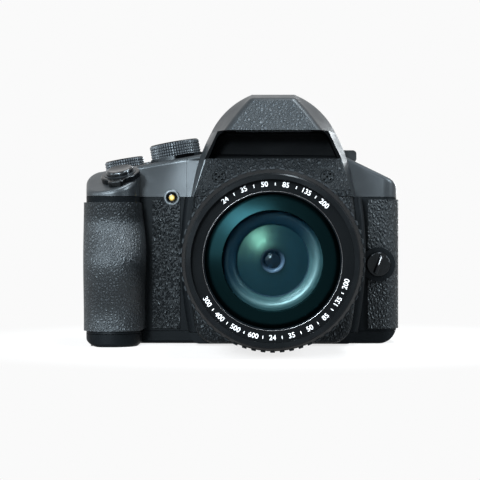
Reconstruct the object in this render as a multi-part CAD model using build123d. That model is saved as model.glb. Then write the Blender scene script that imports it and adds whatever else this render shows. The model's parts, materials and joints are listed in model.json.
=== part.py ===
"""A bridge camera with a telescoping zoom lens, a pop-up flash head, a deep grip and a tilting screen.

X = 0 is the lens axis, -Y points at the subject, +X is the photographer's left, and Z = 0 is the base plane.
The origin is the mouth of the tripod socket. Lengths are millimetres and angles are degrees.
"""

from build123d import *
from math import atan2, degrees, radians, tan
import os

os.makedirs("parts", exist_ok=True)

# Driving dimensions of the body
LENS_Z = 37.4
SHELL_LEFT_X = -80.2
SHELL_FRONT_Y = -13.0
SHELL_REAR_Y = 26.0
SHELL_SPLIT_Y = 8.0
BASE_HEIGHT = 5.5
SHOULDER_Z = 63.0
HUMP_TOP_Z = 106.6
GRIP_DEPTH = 30.0
GRIP_WIDTH = 24.7
GRIP_LEAN = 2.6

# Clearances and stock thicknesses that many pieces share
WALL = 2.4
SKIN = 0.8
SEAM = 0.2
FIT = 0.3
RUNNING_FIT = 0.1
OVERRUN = 12.0
SOFT_EDGE = 0.5

# Corner radii of the body in plan and in front view
SIDE_RADIUS = 6.0
REAR_LEFT_RADIUS = 7.0
BASE_CORNER_RADIUS = 8.0
BASE_EDGE = 1.4

# The grip's lobe in plan, and how its nose swells and narrows with height
GRIP_LEFT_RADIUS = 9.0
GRIP_RIGHT_RADIUS = 11.0
# Each row: share of the height from base cover to shoulder, share of the depth, share of the width
GRIP_STATION_SHARES = (
    (0.0, 0.9, 0.97),
    (0.25, 0.93, 0.985),
    (0.5, 1.0, 1.0),
    (0.62, 0.99, 1.0),
    (0.82, 0.9, 0.96),
    (1.0, 0.87, 0.93),
)
GRIP_RUBBER = 1.0
GRIP_RUBBER_MARGIN = 1.2
GRIP_RUBBER_TOP_MARGIN = 2.4

# The raised frame round the lens, and the grained panel on it
FRAME_FRONT_Y = -24.0
FRAME_MIDDLE_HALF = 39.2
FRAME_TOP_INSET = 1.8
FRAME_TOP_HALF = FRAME_MIDDLE_HALF - FRAME_TOP_INSET
FRAME_BASE_INSET = 3.4
FRAME_BASE_HALF = FRAME_MIDDLE_HALF - FRAME_BASE_INSET
FRAME_FOOT_INSET = 2.2
FRAME_FOOT_HALF = FRAME_BASE_HALF - FRAME_FOOT_INSET
FRAME_FOOT_Z = 0.6
FRAME_FOOT_RADIUS = 4.0
FRAME_EDGE = 2.2
SIDE_REACH = 14.0
SHELL_RIGHT_X = FRAME_MIDDLE_HALF + SIDE_REACH
PANEL_THICKNESS = 5.3
PANEL_INSET = 3.8
PANEL_SHOULDER_HALF = 33.4
PANEL_MIDDLE_HALF = FRAME_MIDDLE_HALF - PANEL_INSET
PANEL_BASE_HALF = 31.6
PANEL_BASE_Z = 0.9
PANEL_CORNER_RADIUS = 9.0
PANEL_EDGE = 2.4
PANEL_BEND_Z = 66.0
PANEL_TOP_HALF = 28.4
PANEL_TOP_Y = -22.5
PANEL_TOP_THICKNESS = 1.0

# The top cover's sloping shoulders and the shooting deck
DECK_TILT = 10.0
DECK_ORIGIN_X = -65.0
DECK_ORIGIN_Z = 75.3
DECK_FRONT_Y = -12.0
SLOPE_TILT = 19.0
SHOULDER_LEFT_X = -79.4
SHOULDER_CREST_X = -30.0
SHOULDER_RIGHT_TOP_X = 30.0
SHOULDER_RIGHT_TOP_Z = 80.7
SHOULDER_RIGHT_END_Z = 69.4
SHOULDER_RADIUS = 5.9
SHOULDER_EDGE = 2.0
NOSE_EDGE = 2.0
TOP_SEAM_X = -37.0
TOP_SEAM_WIDTH = 0.4

# The hump, as half widths in front view
HUMP_CROWN_HALF = 9.0
HUMP_BROW_HALF = 18.9
HUMP_BROW_DROP = 6.1
HUMP_BROW_Z = HUMP_TOP_Z - HUMP_BROW_DROP
HUMP_SHELF_DROP = 16.0
HUMP_SHELF_Z = HUMP_TOP_Z - HUMP_SHELF_DROP
HUMP_SHELF_HALF = 26.4
HUMP_SIDE_HALF = 30.0
HUMP_SIDE_DROP = 7.6
HUMP_SIDE_Z = HUMP_SHELF_Z - HUMP_SIDE_DROP
HUMP_HIP_HALF = 33.0
HUMP_HIP_Z = 74.0
HUMP_FOOT_HALF = 35.2
HUMP_SHELF_FRONT_Y = -27.5
FLANK_FRONT_Y = -28.0
FLANK_SHELF_HALF = 23.2
FLANK_HIP_HALF = 28.2
FLANK_HIP_Z = 76.0
FLANK_FOOT_HALF = 33.2
HUMP_CREST_DROP = 5.2
HUMP_CREST_Z = HUMP_TOP_Z - HUMP_CREST_DROP
HUMP_CREST_REAR_Y = 22.0
HUMP_REAR_DROP = 8.6
HUMP_REAR_Z = HUMP_TOP_Z - HUMP_REAR_DROP

# The flash head, which is the front of the hump above the recess
HEAD_FRONT_Y = -34.0
HEAD_FRONT_HALF = 20.0
HEAD_FRONT_TOP_HALF = 9.5
HEAD_FRONT_DROP = 2.2
HEAD_FRONT_TOP_Z = HUMP_TOP_Z - HEAD_FRONT_DROP
HEAD_FRONT_TOP_Y = -26.5
HEAD_FULL_Y = -15.0
HEAD_REAR_Y = 2.0
HEAD_EDGE = 4.2
HEAD_AXIS_Y = 1.0
HEAD_BARREL_RADIUS = 5.0
HEAD_LUG_X = 7.0
HEAD_LUG_WIDTH = 3.4
HEAD_LUG_RADIUS = 2.0
HEAD_LUG_REACH = 10.0
HEAD_PIN_RADIUS = 0.9
HEAD_PIN_REACH = 2.4
HEAD_POCKET_HALF = 16.0
HEAD_POCKET_FRONT_Y = -29.0
HEAD_POCKET_REAR_Y = -16.0
HEAD_POCKET_DEPTH = 6.0
WINDOW_FRONT_RISE = 3.4
WINDOW_REAR_RISE = 0.8

# The dark recess under the flash head
RECESS_BASE_Z = 79.0
RECESS_REAR_Y = -9.0
RECESS_TOP_HALF = 22.4
RECESS_BASE_HALF = 27.4
RECESS_RADIUS = 6.0

# Viewfinder
FINDER_Z = 88.6
FINDER_BORE = 9.5
FINDER_FRONT_Y = 9.0
FINDER_LENGTH = 8.0
FINDER_MODULE_LENGTH = 14.0
FINDER_HALF_WIDTH = 17.0
FINDER_BASE_Z = 78.0
FINDER_TOP_Z = 99.2
FINDER_RADIUS = 5.0
EYECUP_LENGTH = 7.0
EYECUP_FLARE = 1.6
EYECUP_HALF_OPENING = 10.5
EYECUP_OPENING_HEIGHT = 14.5
EYECUP_OPENING_RADIUS = 5.0
EYEPIECE_THICKNESS = 3.5
EYEPIECE_INSET = 1.5

# Accessory shoe, to the common 18.6 mm size
SHOE_FLOOR_Z = 100.2
SHOE_WIDTH = 21.4
SHOE_SLOT_WIDTH = 18.7
SHOE_MOUTH_WIDTH = 12.8
SHOE_SLOT_HEIGHT = 2.1
SHOE_PLATE = 0.8
SHOE_LIP = 0.9
SHOE_FRONT_Y = 8.0
SHOE_LENGTH = 18.0
SHOE_CONTACT_RADIUS = 1.0
SHOE_CONTACT_PITCH = 4.2
SHOE_CONTACT_SINK = 0.3

# Lens radii, outer to inner, each pair of sliding tubes one running fit apart
MOUNT_RING_RADIUS = 36.0
MOUNT_SPIGOT_RADIUS = 31.0
ZOOM_RADIUS = 35.3
ZOOM_RUBBER = 1.0
ZOOM_RIB_COUNT = 60
ZOOM_RIB_WIDTH = 1.9
ZOOM_RIB_HEIGHT = 0.6
FOCUS_RADIUS = 35.0
FOCUS_RIB_COUNT = 72
FOCUS_RIB_WIDTH = 1.3
FOCUS_RIB_HEIGHT = 0.5
COLLAR_RADIUS = 35.2
FIXED_RADIUS = 33.4
FIXED_BORE = 32.0
MIDDLE_BORE = 30.5
FRONT_TUBE_BORE = 28.6
GUIDE_BORE = 25.6
HEAD_RADIUS = 33.2
FILTER_RADIUS = 31.0
FILTER_DEPTH = 4.5
NAME_RING_BORE = 26.4
NAME_RING_THICKNESS = 0.9
GLASS_RADIUS = 25.9
SECOND_RADIUS = 19.2
VARIATOR_RADIUS = 14.0
STOP_RADIUS = 7.0
REAR_GLASS_RADIUS = 10.0

# Lens lengths along Y, from the body to the front
MOUNT_RING_LENGTH = 6.4
MOUNT_WEB = 1.8
FOCUS_LENGTH = 10.0
COLLAR_LENGTH = 8.6
ZOOM_LENGTH = 36.8
ZOOM_BEVEL = 1.5
ZOOM_BAND_INSET = 2.6
FRONT_HEAD_LENGTH = 14.8
MIDDLE_LENGTH = 41.0
FRONT_TUBE_LENGTH = 33.0
GUIDE_REAR_Y = -9.2
GUIDE_FLANGE_RADIUS = 32.0
GUIDE_FRONT_Y = -86.0
GLASS_INSET = 2.4
GLASS_THICKNESS = 8.6
GLASS_FRONT_CURVE = 78.0
GLASS_REAR_CURVE = 300.0
CELL_LIP = 1.6
SECOND_GAP = 2.0
SECOND_THICKNESS = 5.0
SECOND_FRONT_CURVE = 60.0
SECOND_REAR_CURVE = 300.0
VARIATOR_FRONT_Y = -83.0
VARIATOR_LENGTH = 9.0
VARIATOR_RIM = 1.6
VARIATOR_WEB = 2.0
VARIATOR_CURVE = 42.0
STOP_Y = -40.0
STOP_LENGTH = 4.0
STOP_PLATE = 1.0
REAR_GROUP_Y = -26.0
REAR_GROUP_LENGTH = 9.0
REAR_GLASS_CURVE = 30.0
INNER_HUB = 2.0

# Dials, in the tilted frame of the deck
MODE_DIAL_RADIUS = 10.9
MODE_DIAL_HEIGHT = 6.2
MODE_DIAL_X = 23.2
MODE_DIAL_Y = 3.0
MODE_BOSS_RADIUS = 11.6
MODE_BOSS_HEIGHT = 1.6
MODE_NOTCH_COUNT = 60
COMMAND_DIAL_RADIUS = 8.7
COMMAND_DIAL_HEIGHT = 4.6
COMMAND_DIAL_Y = 8.0
COMMAND_NOTCH_COUNT = 48
DIAL_NOTCH_WIDTH = 0.5
DIAL_ROW_PITCH = 1.2
DIAL_ROW_DEPTH = 0.3
DIAL_EDGE = 0.7
DIAL_STEM_RADIUS = 3.0
DIAL_STEM_LENGTH = 2.5
DIAL_DISH_DEPTH = 0.4
DIAL_RIM = 1.6

# Shutter release and power lever, in the tilted frame of the front slope
SHUTTER_REACH = 14.6
SHUTTER_RADIUS = 5.7
SHUTTER_HEIGHT = 4.4
SHUTTER_SINK = 2.0
SHUTTER_TRAVEL = 1.2
SHUTTER_DISH_CURVE = 22.0
SHUTTER_DISH_DEPTH = 0.5
LEVER_BORE = 6.7
LEVER_RADIUS = 8.3
LEVER_HEIGHT = 2.2
LEVER_TAB_REACH = 11.2
LEVER_TAB_WIDTH = 7.0
LEVER_TAB_TURN = 10.0
DECK_BUTTON_RADIUS = 2.4
DECK_BUTTON_RISE = 0.9
DECK_BUTTON_SINK = 2.0
DECK_BUTTON_X = 11.0
DECK_BUTTON_FRONT_Y = -5.5
DECK_BUTTON_PITCH = 7.5

# Flash release on the hump's flank
RELEASE_Y = -1.0
RELEASE_LENGTH = 9.0
RELEASE_BASE_Z = 78.0
RELEASE_TOP_Z = 83.2
RELEASE_OUTER_X = 36.0
RELEASE_ROOT_X = 26.0
RELEASE_RADIUS = 1.6
RELEASE_TRAVEL = 1.0

# Lamp, microphones and focus selector on the front
LAMP_REACH = 4.3
LAMP_X = -(FRAME_MIDDLE_HALF + LAMP_REACH)
LAMP_Z = 62.6
LAMP_RADIUS = 1.6
LAMP_BEZEL_RADIUS = 3.5
LAMP_BEZEL_DEPTH = 1.6
LAMP_PROUD = 1.2
LAMP_CONE = 1.0
MIC_X = 22.8
MIC_Z = 71.2
MIC_RADIUS = 3.0
MIC_GROOVE = 0.4
MIC_HOLE_RADIUS = 0.5
MIC_HOLE_PITCH = 1.3
MIC_HOLE_DEPTH = 1.5
SELECTOR_INSET = 8.3
SELECTOR_X = SHELL_RIGHT_X - SELECTOR_INSET
SELECTOR_Z = 34.1
SELECTOR_RADIUS = 5.1
SELECTOR_RING_RADIUS = 7.3
SELECTOR_RING_PROUD = 1.6
SELECTOR_HEIGHT = 3.0
SELECTOR_BAR_WIDTH = 2.6
SELECTOR_BAR_HEIGHT = 1.2

# Skin of grained leather on the right of the front
LEATHER_LEFT_REACH = 12.6
LEATHER_LEFT_X = -(FRAME_MIDDLE_HALF + LEATHER_LEFT_REACH)
LEATHER_RIGHT_GAP = 1.4
LEATHER_RIGHT_X = FRAME_MIDDLE_HALF + LEATHER_RIGHT_GAP
LEATHER_MARGIN = 1.0

# Tilting screen and its bracket
SCREEN_LEFT_X = -34.5
SCREEN_RIGHT_X = 41.0
SCREEN_BASE_Z = 12.0
SCREEN_TOP_Z = 58.4
SCREEN_THICKNESS = 6.0
SCREEN_PROUD = 2.4
SCREEN_RADIUS = 3.0
SCREEN_EDGE = 1.8
SCREEN_BORDER = 4.0
SCREEN_GLASS = 1.0
SCREEN_TOP_GAP = 1.8
BRACKET_THICKNESS = 1.2
BRACKET_INSET = 3.0
HINGE_RADIUS = 1.6
HINGE_PIN_RADIUS = 0.7
HINGE_PIN_REACH = 2.4
BARREL_LEFT_X = -14.0
BARREL_RIGHT_X = 20.0
EAR_WIDTH = 4.0
EAR_INSET = 6.0

# Rear controls
PAD_X = -57.5
PAD_Z = 30.0
PAD_RADIUS = 9.6
PAD_BORE = 4.3
OK_RADIUS = 4.0
KEY_RADIUS = 2.6
KEY_PROUD = 0.9
KEY_SINK = 2.4
KEY_TRAVEL = 0.8
LOCK_KEY_X = -46.0
LOCK_KEY_Z = 56.0
MOVIE_KEY_X = -41.0
MOVIE_KEY_Z = 48.0
DISPLAY_KEY_X = -46.5
DISPLAY_KEY_Z = 13.5
PLAY_KEY_X = 47.0
PLAY_KEY_Z = 54.0
THUMB_LEFT_X = -76.0
THUMB_RIGHT_X = -53.0
THUMB_BASE_Z = 43.5
THUMB_TOP_Z = 60.0
THUMB_PROUD = 3.4
THUMB_RADIUS = 5.0
THUMB_EDGE = 2.6

# Doors
DOOR_THICKNESS = 1.6
DOOR_PROUD = 0.2
DOOR_PIN_RADIUS = 0.4
DOOR_PIN_REACH = 1.6
DOOR_LEDGE = 2.4
SIDE_DOOR_HINGE_Y = 10.6
CARD_DOOR_REAR_Y = 18.6
CARD_DOOR_BASE_Z = 14.0
CARD_DOOR_TOP_Z = 50.0
TERMINAL_DOOR_REAR_Y = 19.6
TERMINAL_DOOR_BASE_Z = 16.0
TERMINAL_DOOR_TOP_Z = 46.0
BATTERY_DOOR_FRONT_Y = -34.0
BATTERY_DOOR_HINGE_Y = 2.8
BATTERY_DOOR_LEFT_X = -76.2
BATTERY_DOOR_RIGHT_X = -59.2
BATTERY_DOOR_LIFT = 0.3

# Inside the body
BATTERY_LEFT_X = -75.3
BATTERY_RIGHT_X = -60.6
BATTERY_FRONT_Y = -32.0
BATTERY_REAR_Y = 1.6
BATTERY_HEIGHT = 53.0
GRIP_WALL_X = -57.4
CAVITY_ROOF = 2.4
CAVITY_REAR_Y = 18.0
CHASSIS_Y = 2.0
CHASSIS_THICKNESS = 1.6
CHASSIS_LEFT_X = -50.0
CHASSIS_RIGHT_X = 47.0
CHASSIS_BASE_Z = 9.0
CHASSIS_TOP_Z = 58.0
CHASSIS_PILLAR_RADIUS = 2.0
CHASSIS_PILLAR_X = 42.0
CHASSIS_PILLAR_INSET = 5.0
CHASSIS_WINDOW_WIDTH = 18.0
CHASSIS_WINDOW_HEIGHT = 14.0
SENSOR_WIDTH = 26.0
SENSOR_HEIGHT = 21.0
SENSOR_THICKNESS = 2.6
BOARD_Y = 12.0
BOARD_THICKNESS = 1.2
BOARD_LEFT_X = -40.0
BOARD_RIGHT_X = 45.0
BOARD_BASE_Z = 12.0
BOARD_TOP_Z = 57.0
BOARD_POST_RADIUS = 2.0
BOARD_POST_INSET = 4.0
CHIP_SIZE = 13.0
CHIP_THICKNESS = 1.2
CHIP_PITCH = 20.0
HUMP_CAVITY_HALF = 24.0
HUMP_CAVITY_TOP_Z = 75.0
DECK_CAVITY_TOP_Z = 68.0
DECK_CAVITY_RIGHT_X = -41.0
SIDE_CAVITY_LEFT_X = 39.0
SIDE_CAVITY_TOP_Z = 66.5
TOP_CAVITY_REAR_Y = 22.0

# Tripod socket, base screws and strap bars
SOCKET_RADIUS = 3.175
SOCKET_LENGTH = 5.0
SOCKET_OUTER_RADIUS = 5.4
SOCKET_FLANGE_RADIUS = 7.4
SOCKET_FLANGE = 1.4
BASE_PLATE = 2.2
SCREW_HEAD_RADIUS = 1.7
SCREW_HEAD_HEIGHT = 1.0
SCREW_SINK = 0.25
SCREW_SHANK_RADIUS = 0.9
SCREW_TOP_Z = 9.5
SCREW_POST_RADIUS = 2.4
SCREW_POST_TOP_Z = 11.5
SCREW_X = 44.0
SCREW_FRONT_Y = -8.6
SCREW_REAR_Y = 16.0
STRAP_BAR_RADIUS = 0.9
STRAP_Y = 4.0
STRAP_POCKET_LENGTH = 9.0
STRAP_POCKET_HEIGHT = 4.0
STRAP_POCKET_DEPTH = 2.8
STRAP_BAR_INSET = 1.5
STRAP_Z = 66.6
STRAP_BAR_SEAT = 1.2
DIOPTER_RADIUS = 4.0
DIOPTER_THICKNESS = 1.8
DIOPTER_NOTCH_RADIUS = 0.35
DIOPTER_NOTCH_COUNT = 18
DIOPTER_STEM_RADIUS = 1.2
DIOPTER_STEM_LENGTH = 3.0

# Planes that several pieces meet at
PANEL_FRONT_Y = FRAME_FRONT_Y - PANEL_THICKNESS
MOUNT_RING_FRONT_Y = PANEL_FRONT_Y - MOUNT_RING_LENGTH
FIXED_REAR_Y = PANEL_FRONT_Y - MOUNT_WEB
FOCUS_REAR_Y = MOUNT_RING_FRONT_Y - FIT
FOCUS_FRONT_Y = FOCUS_REAR_Y - FOCUS_LENGTH
COLLAR_REAR_Y = FOCUS_FRONT_Y - FIT
COLLAR_FRONT_Y = COLLAR_REAR_Y - COLLAR_LENGTH
ZOOM_REAR_Y = COLLAR_FRONT_Y - FIT
ZOOM_FRONT_Y = ZOOM_REAR_Y - ZOOM_LENGTH
HEAD_BACK_Y = ZOOM_FRONT_Y - FIT
LENS_FRONT_Y = HEAD_BACK_Y - FRONT_HEAD_LENGTH
FILTER_REAR_Y = LENS_FRONT_Y + FILTER_DEPTH
GLASS_APEX_Y = LENS_FRONT_Y + GLASS_INSET
GLASS_REAR_Y = GLASS_APEX_Y + GLASS_THICKNESS
SECOND_APEX_Y = GLASS_REAR_Y + SECOND_GAP
SECOND_REAR_Y = SECOND_APEX_Y + SECOND_THICKNESS
RING_BORE = FIXED_RADIUS + RUNNING_FIT
ZOOM_CORE_RADIUS = ZOOM_RADIUS - ZOOM_RUBBER
MIDDLE_RADIUS = FIXED_BORE - RUNNING_FIT
FRONT_TUBE_RADIUS = MIDDLE_BORE - RUNNING_FIT
GUIDE_RADIUS = FRONT_TUBE_BORE - RUNNING_FIT
CARRIER_RADIUS = GUIDE_BORE - RUNNING_FIT
DECK_RISE = tan(radians(DECK_TILT))
SHOULDER_LEFT_TOP_Z = DECK_ORIGIN_Z + (SHOULDER_LEFT_X - DECK_ORIGIN_X) * DECK_RISE
SHOULDER_CREST_Z = DECK_ORIGIN_Z + (SHOULDER_CREST_X - DECK_ORIGIN_X) * DECK_RISE
COVER_TOP_Z = SHOULDER_Z - SEAM
BASE_TOP_Z = BASE_HEIGHT - SEAM
HEAD_AXIS_Z = HUMP_TOP_Z - HEAD_BARREL_RADIUS
SHELF_TOP_Z = HUMP_SHELF_Z - SEAM
SCREEN_REAR_Y = SHELL_REAR_Y + SCREEN_PROUD
SCREEN_FRONT_Y = SCREEN_REAR_Y - SCREEN_THICKNESS
BRACKET_REAR_Y = SCREEN_FRONT_Y - FIT
BRACKET_FRONT_Y = BRACKET_REAR_Y - BRACKET_THICKNESS
SCREEN_RECESS_Y = BRACKET_FRONT_Y - FIT
LOWER_AXIS_Y = SCREEN_REAR_Y - HINGE_RADIUS - FIT
LOWER_AXIS_Z = SCREEN_BASE_Z - HINGE_RADIUS - 2 * FIT
UPPER_AXIS_Y = (SCREEN_FRONT_Y + SCREEN_REAR_Y) / 2
UPPER_AXIS_Z = SCREEN_TOP_Z - HINGE_RADIUS - FIT
FINDER_REAR_Y = SHELL_REAR_Y + FINDER_LENGTH
EYECUP_REAR_Y = FINDER_REAR_Y + EYECUP_LENGTH


def block(x_limits, y_limits, z_limits):
    """Box between three pairs of limits."""
    limits = (x_limits, y_limits, z_limits)
    sizes = [high - low for low, high in limits]
    middle = [(high + low) / 2 for low, high in limits]
    return Pos(*middle) * Box(*sizes)


def outline(*points):
    """Flat face inside straight runs through the points."""
    return make_face(Polyline(*points, close=True))


def front_prism(face, y_front, y_rear):
    """Face drawn in X and Z, carried from y_front to y_rear."""
    return Pos(0, y_rear, 0) * extrude(Plane.XZ * face, y_rear - y_front)


def side_prism(face, x_low, x_high):
    """Face drawn in Y and Z, carried from x_low to x_high."""
    return Pos(x_low, 0, 0) * extrude(Plane.YZ * face, x_high - x_low)


def plan_prism(face, z_low, z_high):
    """Face drawn in X and Y, carried from z_low to z_high."""
    return Pos(0, 0, z_low) * extrude(face, z_high - z_low)


def rod_x(radius, x_low, x_high, y, z):
    """Cylinder along X."""
    return Pos((x_high + x_low) / 2, y, z) * Rot(0, 90, 0) * Cylinder(radius, x_high - x_low)


def rod_y(radius, y_front, y_rear, x, z):
    """Cylinder along Y."""
    return Pos(x, (y_rear + y_front) / 2, z) * Rot(90, 0, 0) * Cylinder(radius, y_rear - y_front)


def rod_z(radius, z_low, z_high, x, y):
    """Cylinder along Z."""
    return Pos(x, y, (z_high + z_low) / 2) * Cylinder(radius, z_high - z_low)


def turned(*profile):
    """Ring turned about the lens axis from (radius, y) corners."""
    return Pos(0, 0, LENS_Z) * revolve(outline(*profile), Axis.Y)


def lens_tube(radius, bore, y_front, y_rear):
    """Plain tube on the lens axis."""
    return turned((bore, y_front), (radius, y_front), (radius, y_rear), (bore, y_rear))


def glass(radius, y_front, y_rear, front_curve, rear_curve):
    """Round element on the lens axis, between the tips of its two outward curves."""
    disc = rod_y(radius, y_front, y_rear, 0, LENS_Z)
    disc &= Pos(0, y_front + front_curve, LENS_Z) * Sphere(front_curve)
    return disc & Pos(0, y_rear - rear_curve, LENS_Z) * Sphere(rear_curve)


def ringed(shape, count):
    """Copies of a shape spaced evenly round Z."""
    return [Rot(0, 0, 360 * step / count) * shape for step in range(count)]


def rounded(face, radius, *points):
    """Face with its corners nearest the given points rounded."""
    corners = [face.vertices().sort_by_distance(Vector(*point))[0] for point in points]
    return fillet(corners, radius)


def slab_face(x_low, x_high, low, high, radius):
    """Rectangle between limits, with its four corners rounded."""
    middle = Pos((x_low + x_high) / 2, (low + high) / 2)
    return middle * RectangleRounded(x_high - x_low, high - low, radius)


def body_plan(growth):
    """Shell outline in plan, without the grip."""
    left, right = SHELL_LEFT_X - growth, SHELL_RIGHT_X + growth
    front, rear = SHELL_FRONT_Y - growth, SHELL_REAR_Y + growth
    face = outline((left, front), (right, front), (right, rear), (left, rear))
    face = rounded(face, SIDE_RADIUS + growth, (right, front), (right, rear))
    return rounded(face, REAR_LEFT_RADIUS + growth, (left, rear))


def body_silhouette(growth):
    """Prism of the shell's outline in front view, with its lower corners rounded."""
    left, right = SHELL_LEFT_X - growth, SHELL_RIGHT_X + growth
    face = outline((left, -growth), (right, -growth), (right, SHOULDER_Z), (left, SHOULDER_Z))
    face = rounded(face, BASE_CORNER_RADIUS + growth, (left, -growth), (right, -growth))
    return front_prism(face, SHELL_FRONT_Y - GRIP_DEPTH - OVERRUN, SHELL_REAR_Y + OVERRUN)


def grip_face(depth_share, width_share, growth):
    """Grip lobe in plan at one height."""
    left = SHELL_LEFT_X - growth
    right = SHELL_LEFT_X + GRIP_WIDTH * width_share + growth
    front = SHELL_FRONT_Y - GRIP_DEPTH * depth_share - growth
    nose = left + GRIP_LEAN
    face = outline(
        (nose, front), (right, front), (right, SHELL_SPLIT_Y), (left, SHELL_SPLIT_Y), (left, SHELL_FRONT_Y)
    )
    face = rounded(face, GRIP_LEFT_RADIUS + growth, (nose, front))
    return rounded(face, GRIP_RIGHT_RADIUS + growth, (right, front))


def grip_lobe(growth):
    """Grip lofted through its stations, from the base cover to the shoulder."""
    height = COVER_TOP_Z - BASE_HEIGHT
    sections = [
        Pos(0, 0, BASE_HEIGHT + height * share) * grip_face(depth, width, growth)
        for share, depth, width in GRIP_STATION_SHARES
    ]
    return loft(sections)


def bowed_face(top_z, base_z, top_half, middle_half, base_half):
    """Front-view face whose two sides bow outwards."""
    middle_z = (top_z + base_z) / 2
    right = ThreePointArc((base_half, base_z), (middle_half, middle_z), (top_half, top_z))
    left = ThreePointArc((-top_half, top_z), (-middle_half, middle_z), (-base_half, base_z))
    return make_face([right, Line(right @ 1, left @ 0), left, Line(left @ 1, right @ 0)])


def front_frame():
    """Raised frame round the lens on the front cover, with its front edges rounded."""
    face = bowed_face(COVER_TOP_Z, BASE_HEIGHT, FRAME_TOP_HALF, FRAME_MIDDLE_HALF, FRAME_BASE_HALF)
    frame = front_prism(face, FRAME_FRONT_Y, SHELL_FRONT_Y + WALL)
    rims = frame.faces().sort_by(Axis.Y)[0].edges().filter_by(GeomType.CIRCLE)
    return fillet(rims, FRAME_EDGE)


def front_cover():
    """Front shell with the grip's core, the frame round the lens, the battery well and the lens bore."""
    slab = plan_prism(body_plan(0), BASE_HEIGHT, COVER_TOP_Z)
    slab &= block(
        (SHELL_LEFT_X, SHELL_RIGHT_X),
        (SHELL_FRONT_Y, SHELL_SPLIT_Y),
        (BASE_HEIGHT, COVER_TOP_Z),
    )
    shell = (slab + grip_lobe(0)) & body_silhouette(0)
    shell += front_frame()
    shell -= block(
        (GRIP_WALL_X, SHELL_RIGHT_X - WALL),
        (SHELL_FRONT_Y + WALL, SHELL_SPLIT_Y + OVERRUN),
        (BASE_HEIGHT - OVERRUN, COVER_TOP_Z - CAVITY_ROOF),
    )
    shell += [screw_post(x, SCREW_FRONT_Y) for x in (-SCREW_X, SCREW_X)]
    shell -= battery_well()
    shell -= lens_bore()
    shell -= lamp_bore()
    shell += rod_y(
        SELECTOR_RING_RADIUS,
        SHELL_FRONT_Y - SKIN - SELECTOR_RING_PROUD,
        SHELL_FRONT_Y + WALL,
        SELECTOR_X,
        SELECTOR_Z,
    )
    shell -= rod_y(
        SELECTOR_RADIUS + RUNNING_FIT,
        SHELL_FRONT_Y - OVERRUN,
        SHELL_FRONT_Y - SKIN,
        SELECTOR_X,
        SELECTOR_Z,
    )
    return shell - screw_holes()


def lens_bore():
    """Bore for the lens's guide tube, and room behind the wall for its flange."""
    inner_y = SHELL_FRONT_Y + WALL
    return [
        rod_y(GUIDE_RADIUS, FRAME_FRONT_Y - OVERRUN, inner_y + OVERRUN, 0, LENS_Z),
        rod_y(GUIDE_FLANGE_RADIUS + FIT, inner_y, SHELL_SPLIT_Y, 0, LENS_Z),
    ]


def battery_well():
    """Room for the battery inside the grip."""
    return block(
        (BATTERY_LEFT_X, BATTERY_RIGHT_X + FIT),
        (BATTERY_FRONT_Y - FIT, BATTERY_REAR_Y + FIT),
        (-OVERRUN, battery_base_z() + BATTERY_HEIGHT + FIT),
    )


def battery_base_z():
    """Height of the battery's lower end, just above its door."""
    return BATTERY_DOOR_LIFT + DOOR_THICKNESS + FIT


def lamp_bore():
    """Hole for the lamp's bezel, across the seam of the front and top covers."""
    return rod_y(
        LAMP_BEZEL_RADIUS,
        SHELL_FRONT_Y - OVERRUN,
        SHELL_FRONT_Y + LAMP_BEZEL_DEPTH,
        LAMP_X,
        LAMP_Z,
    )


def screw_post(x, y):
    """Post that takes a base screw."""
    return rod_z(SCREW_POST_RADIUS, BASE_HEIGHT, SCREW_POST_TOP_Z, x, y)


def screw_places():
    """Plan positions of the four base screws."""
    return [(x, y) for x in (-SCREW_X, SCREW_X) for y in (SCREW_FRONT_Y, SCREW_REAR_Y)]


def screw_holes():
    """Holes that the four base screws fill."""
    return [rod_z(SCREW_SHANK_RADIUS, 0, SCREW_TOP_Z, x, y) for x, y in screw_places()]


def front_panel():
    """Grained panel on the frame, split at the shoulder and folded back above the lens."""
    lower = bowed_face(
        COVER_TOP_Z, PANEL_BASE_Z, PANEL_SHOULDER_HALF, PANEL_MIDDLE_HALF, PANEL_BASE_HALF
    )
    lower = rounded(
        lower,
        PANEL_CORNER_RADIUS,
        (PANEL_BASE_HALF, PANEL_BASE_Z),
        (-PANEL_BASE_HALF, PANEL_BASE_Z),
    )
    lower = front_prism(lower, PANEL_FRONT_Y, FRAME_FRONT_Y)
    rims = lower.faces().sort_by(Axis.Y)[0].edges().filter_by(GeomType.CIRCLE)
    lower = fillet(rims, PANEL_EDGE)
    lower -= rod_y(MOUNT_SPIGOT_RADIUS, PANEL_FRONT_Y - OVERRUN, FRAME_FRONT_Y, 0, LENS_Z)
    upper = side_prism(
        outline(
            (FRAME_FRONT_Y, SHOULDER_Z),
            (FRAME_FRONT_Y, PANEL_BEND_Z),
            (PANEL_TOP_Y, RECESS_BASE_Z),
            (PANEL_TOP_Y - PANEL_TOP_THICKNESS, RECESS_BASE_Z),
            (PANEL_FRONT_Y, PANEL_BEND_Z),
            (PANEL_FRONT_Y, SHOULDER_Z),
        ),
        -PANEL_SHOULDER_HALF,
        PANEL_SHOULDER_HALF,
    )
    sides = outline(
        (-PANEL_SHOULDER_HALF, SHOULDER_Z),
        (-PANEL_TOP_HALF, RECESS_BASE_Z),
        (PANEL_TOP_HALF, RECESS_BASE_Z),
        (PANEL_SHOULDER_HALF, SHOULDER_Z),
    )
    upper &= front_prism(sides, PANEL_FRONT_Y, PANEL_TOP_Y)
    upper -= rod_y(MOUNT_SPIGOT_RADIUS, PANEL_FRONT_Y - OVERRUN, FRAME_FRONT_Y, 0, LENS_Z)
    for x in (-MIC_X, MIC_X):
        upper -= microphone(x)
    return Compound(children=[lower, upper])


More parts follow.
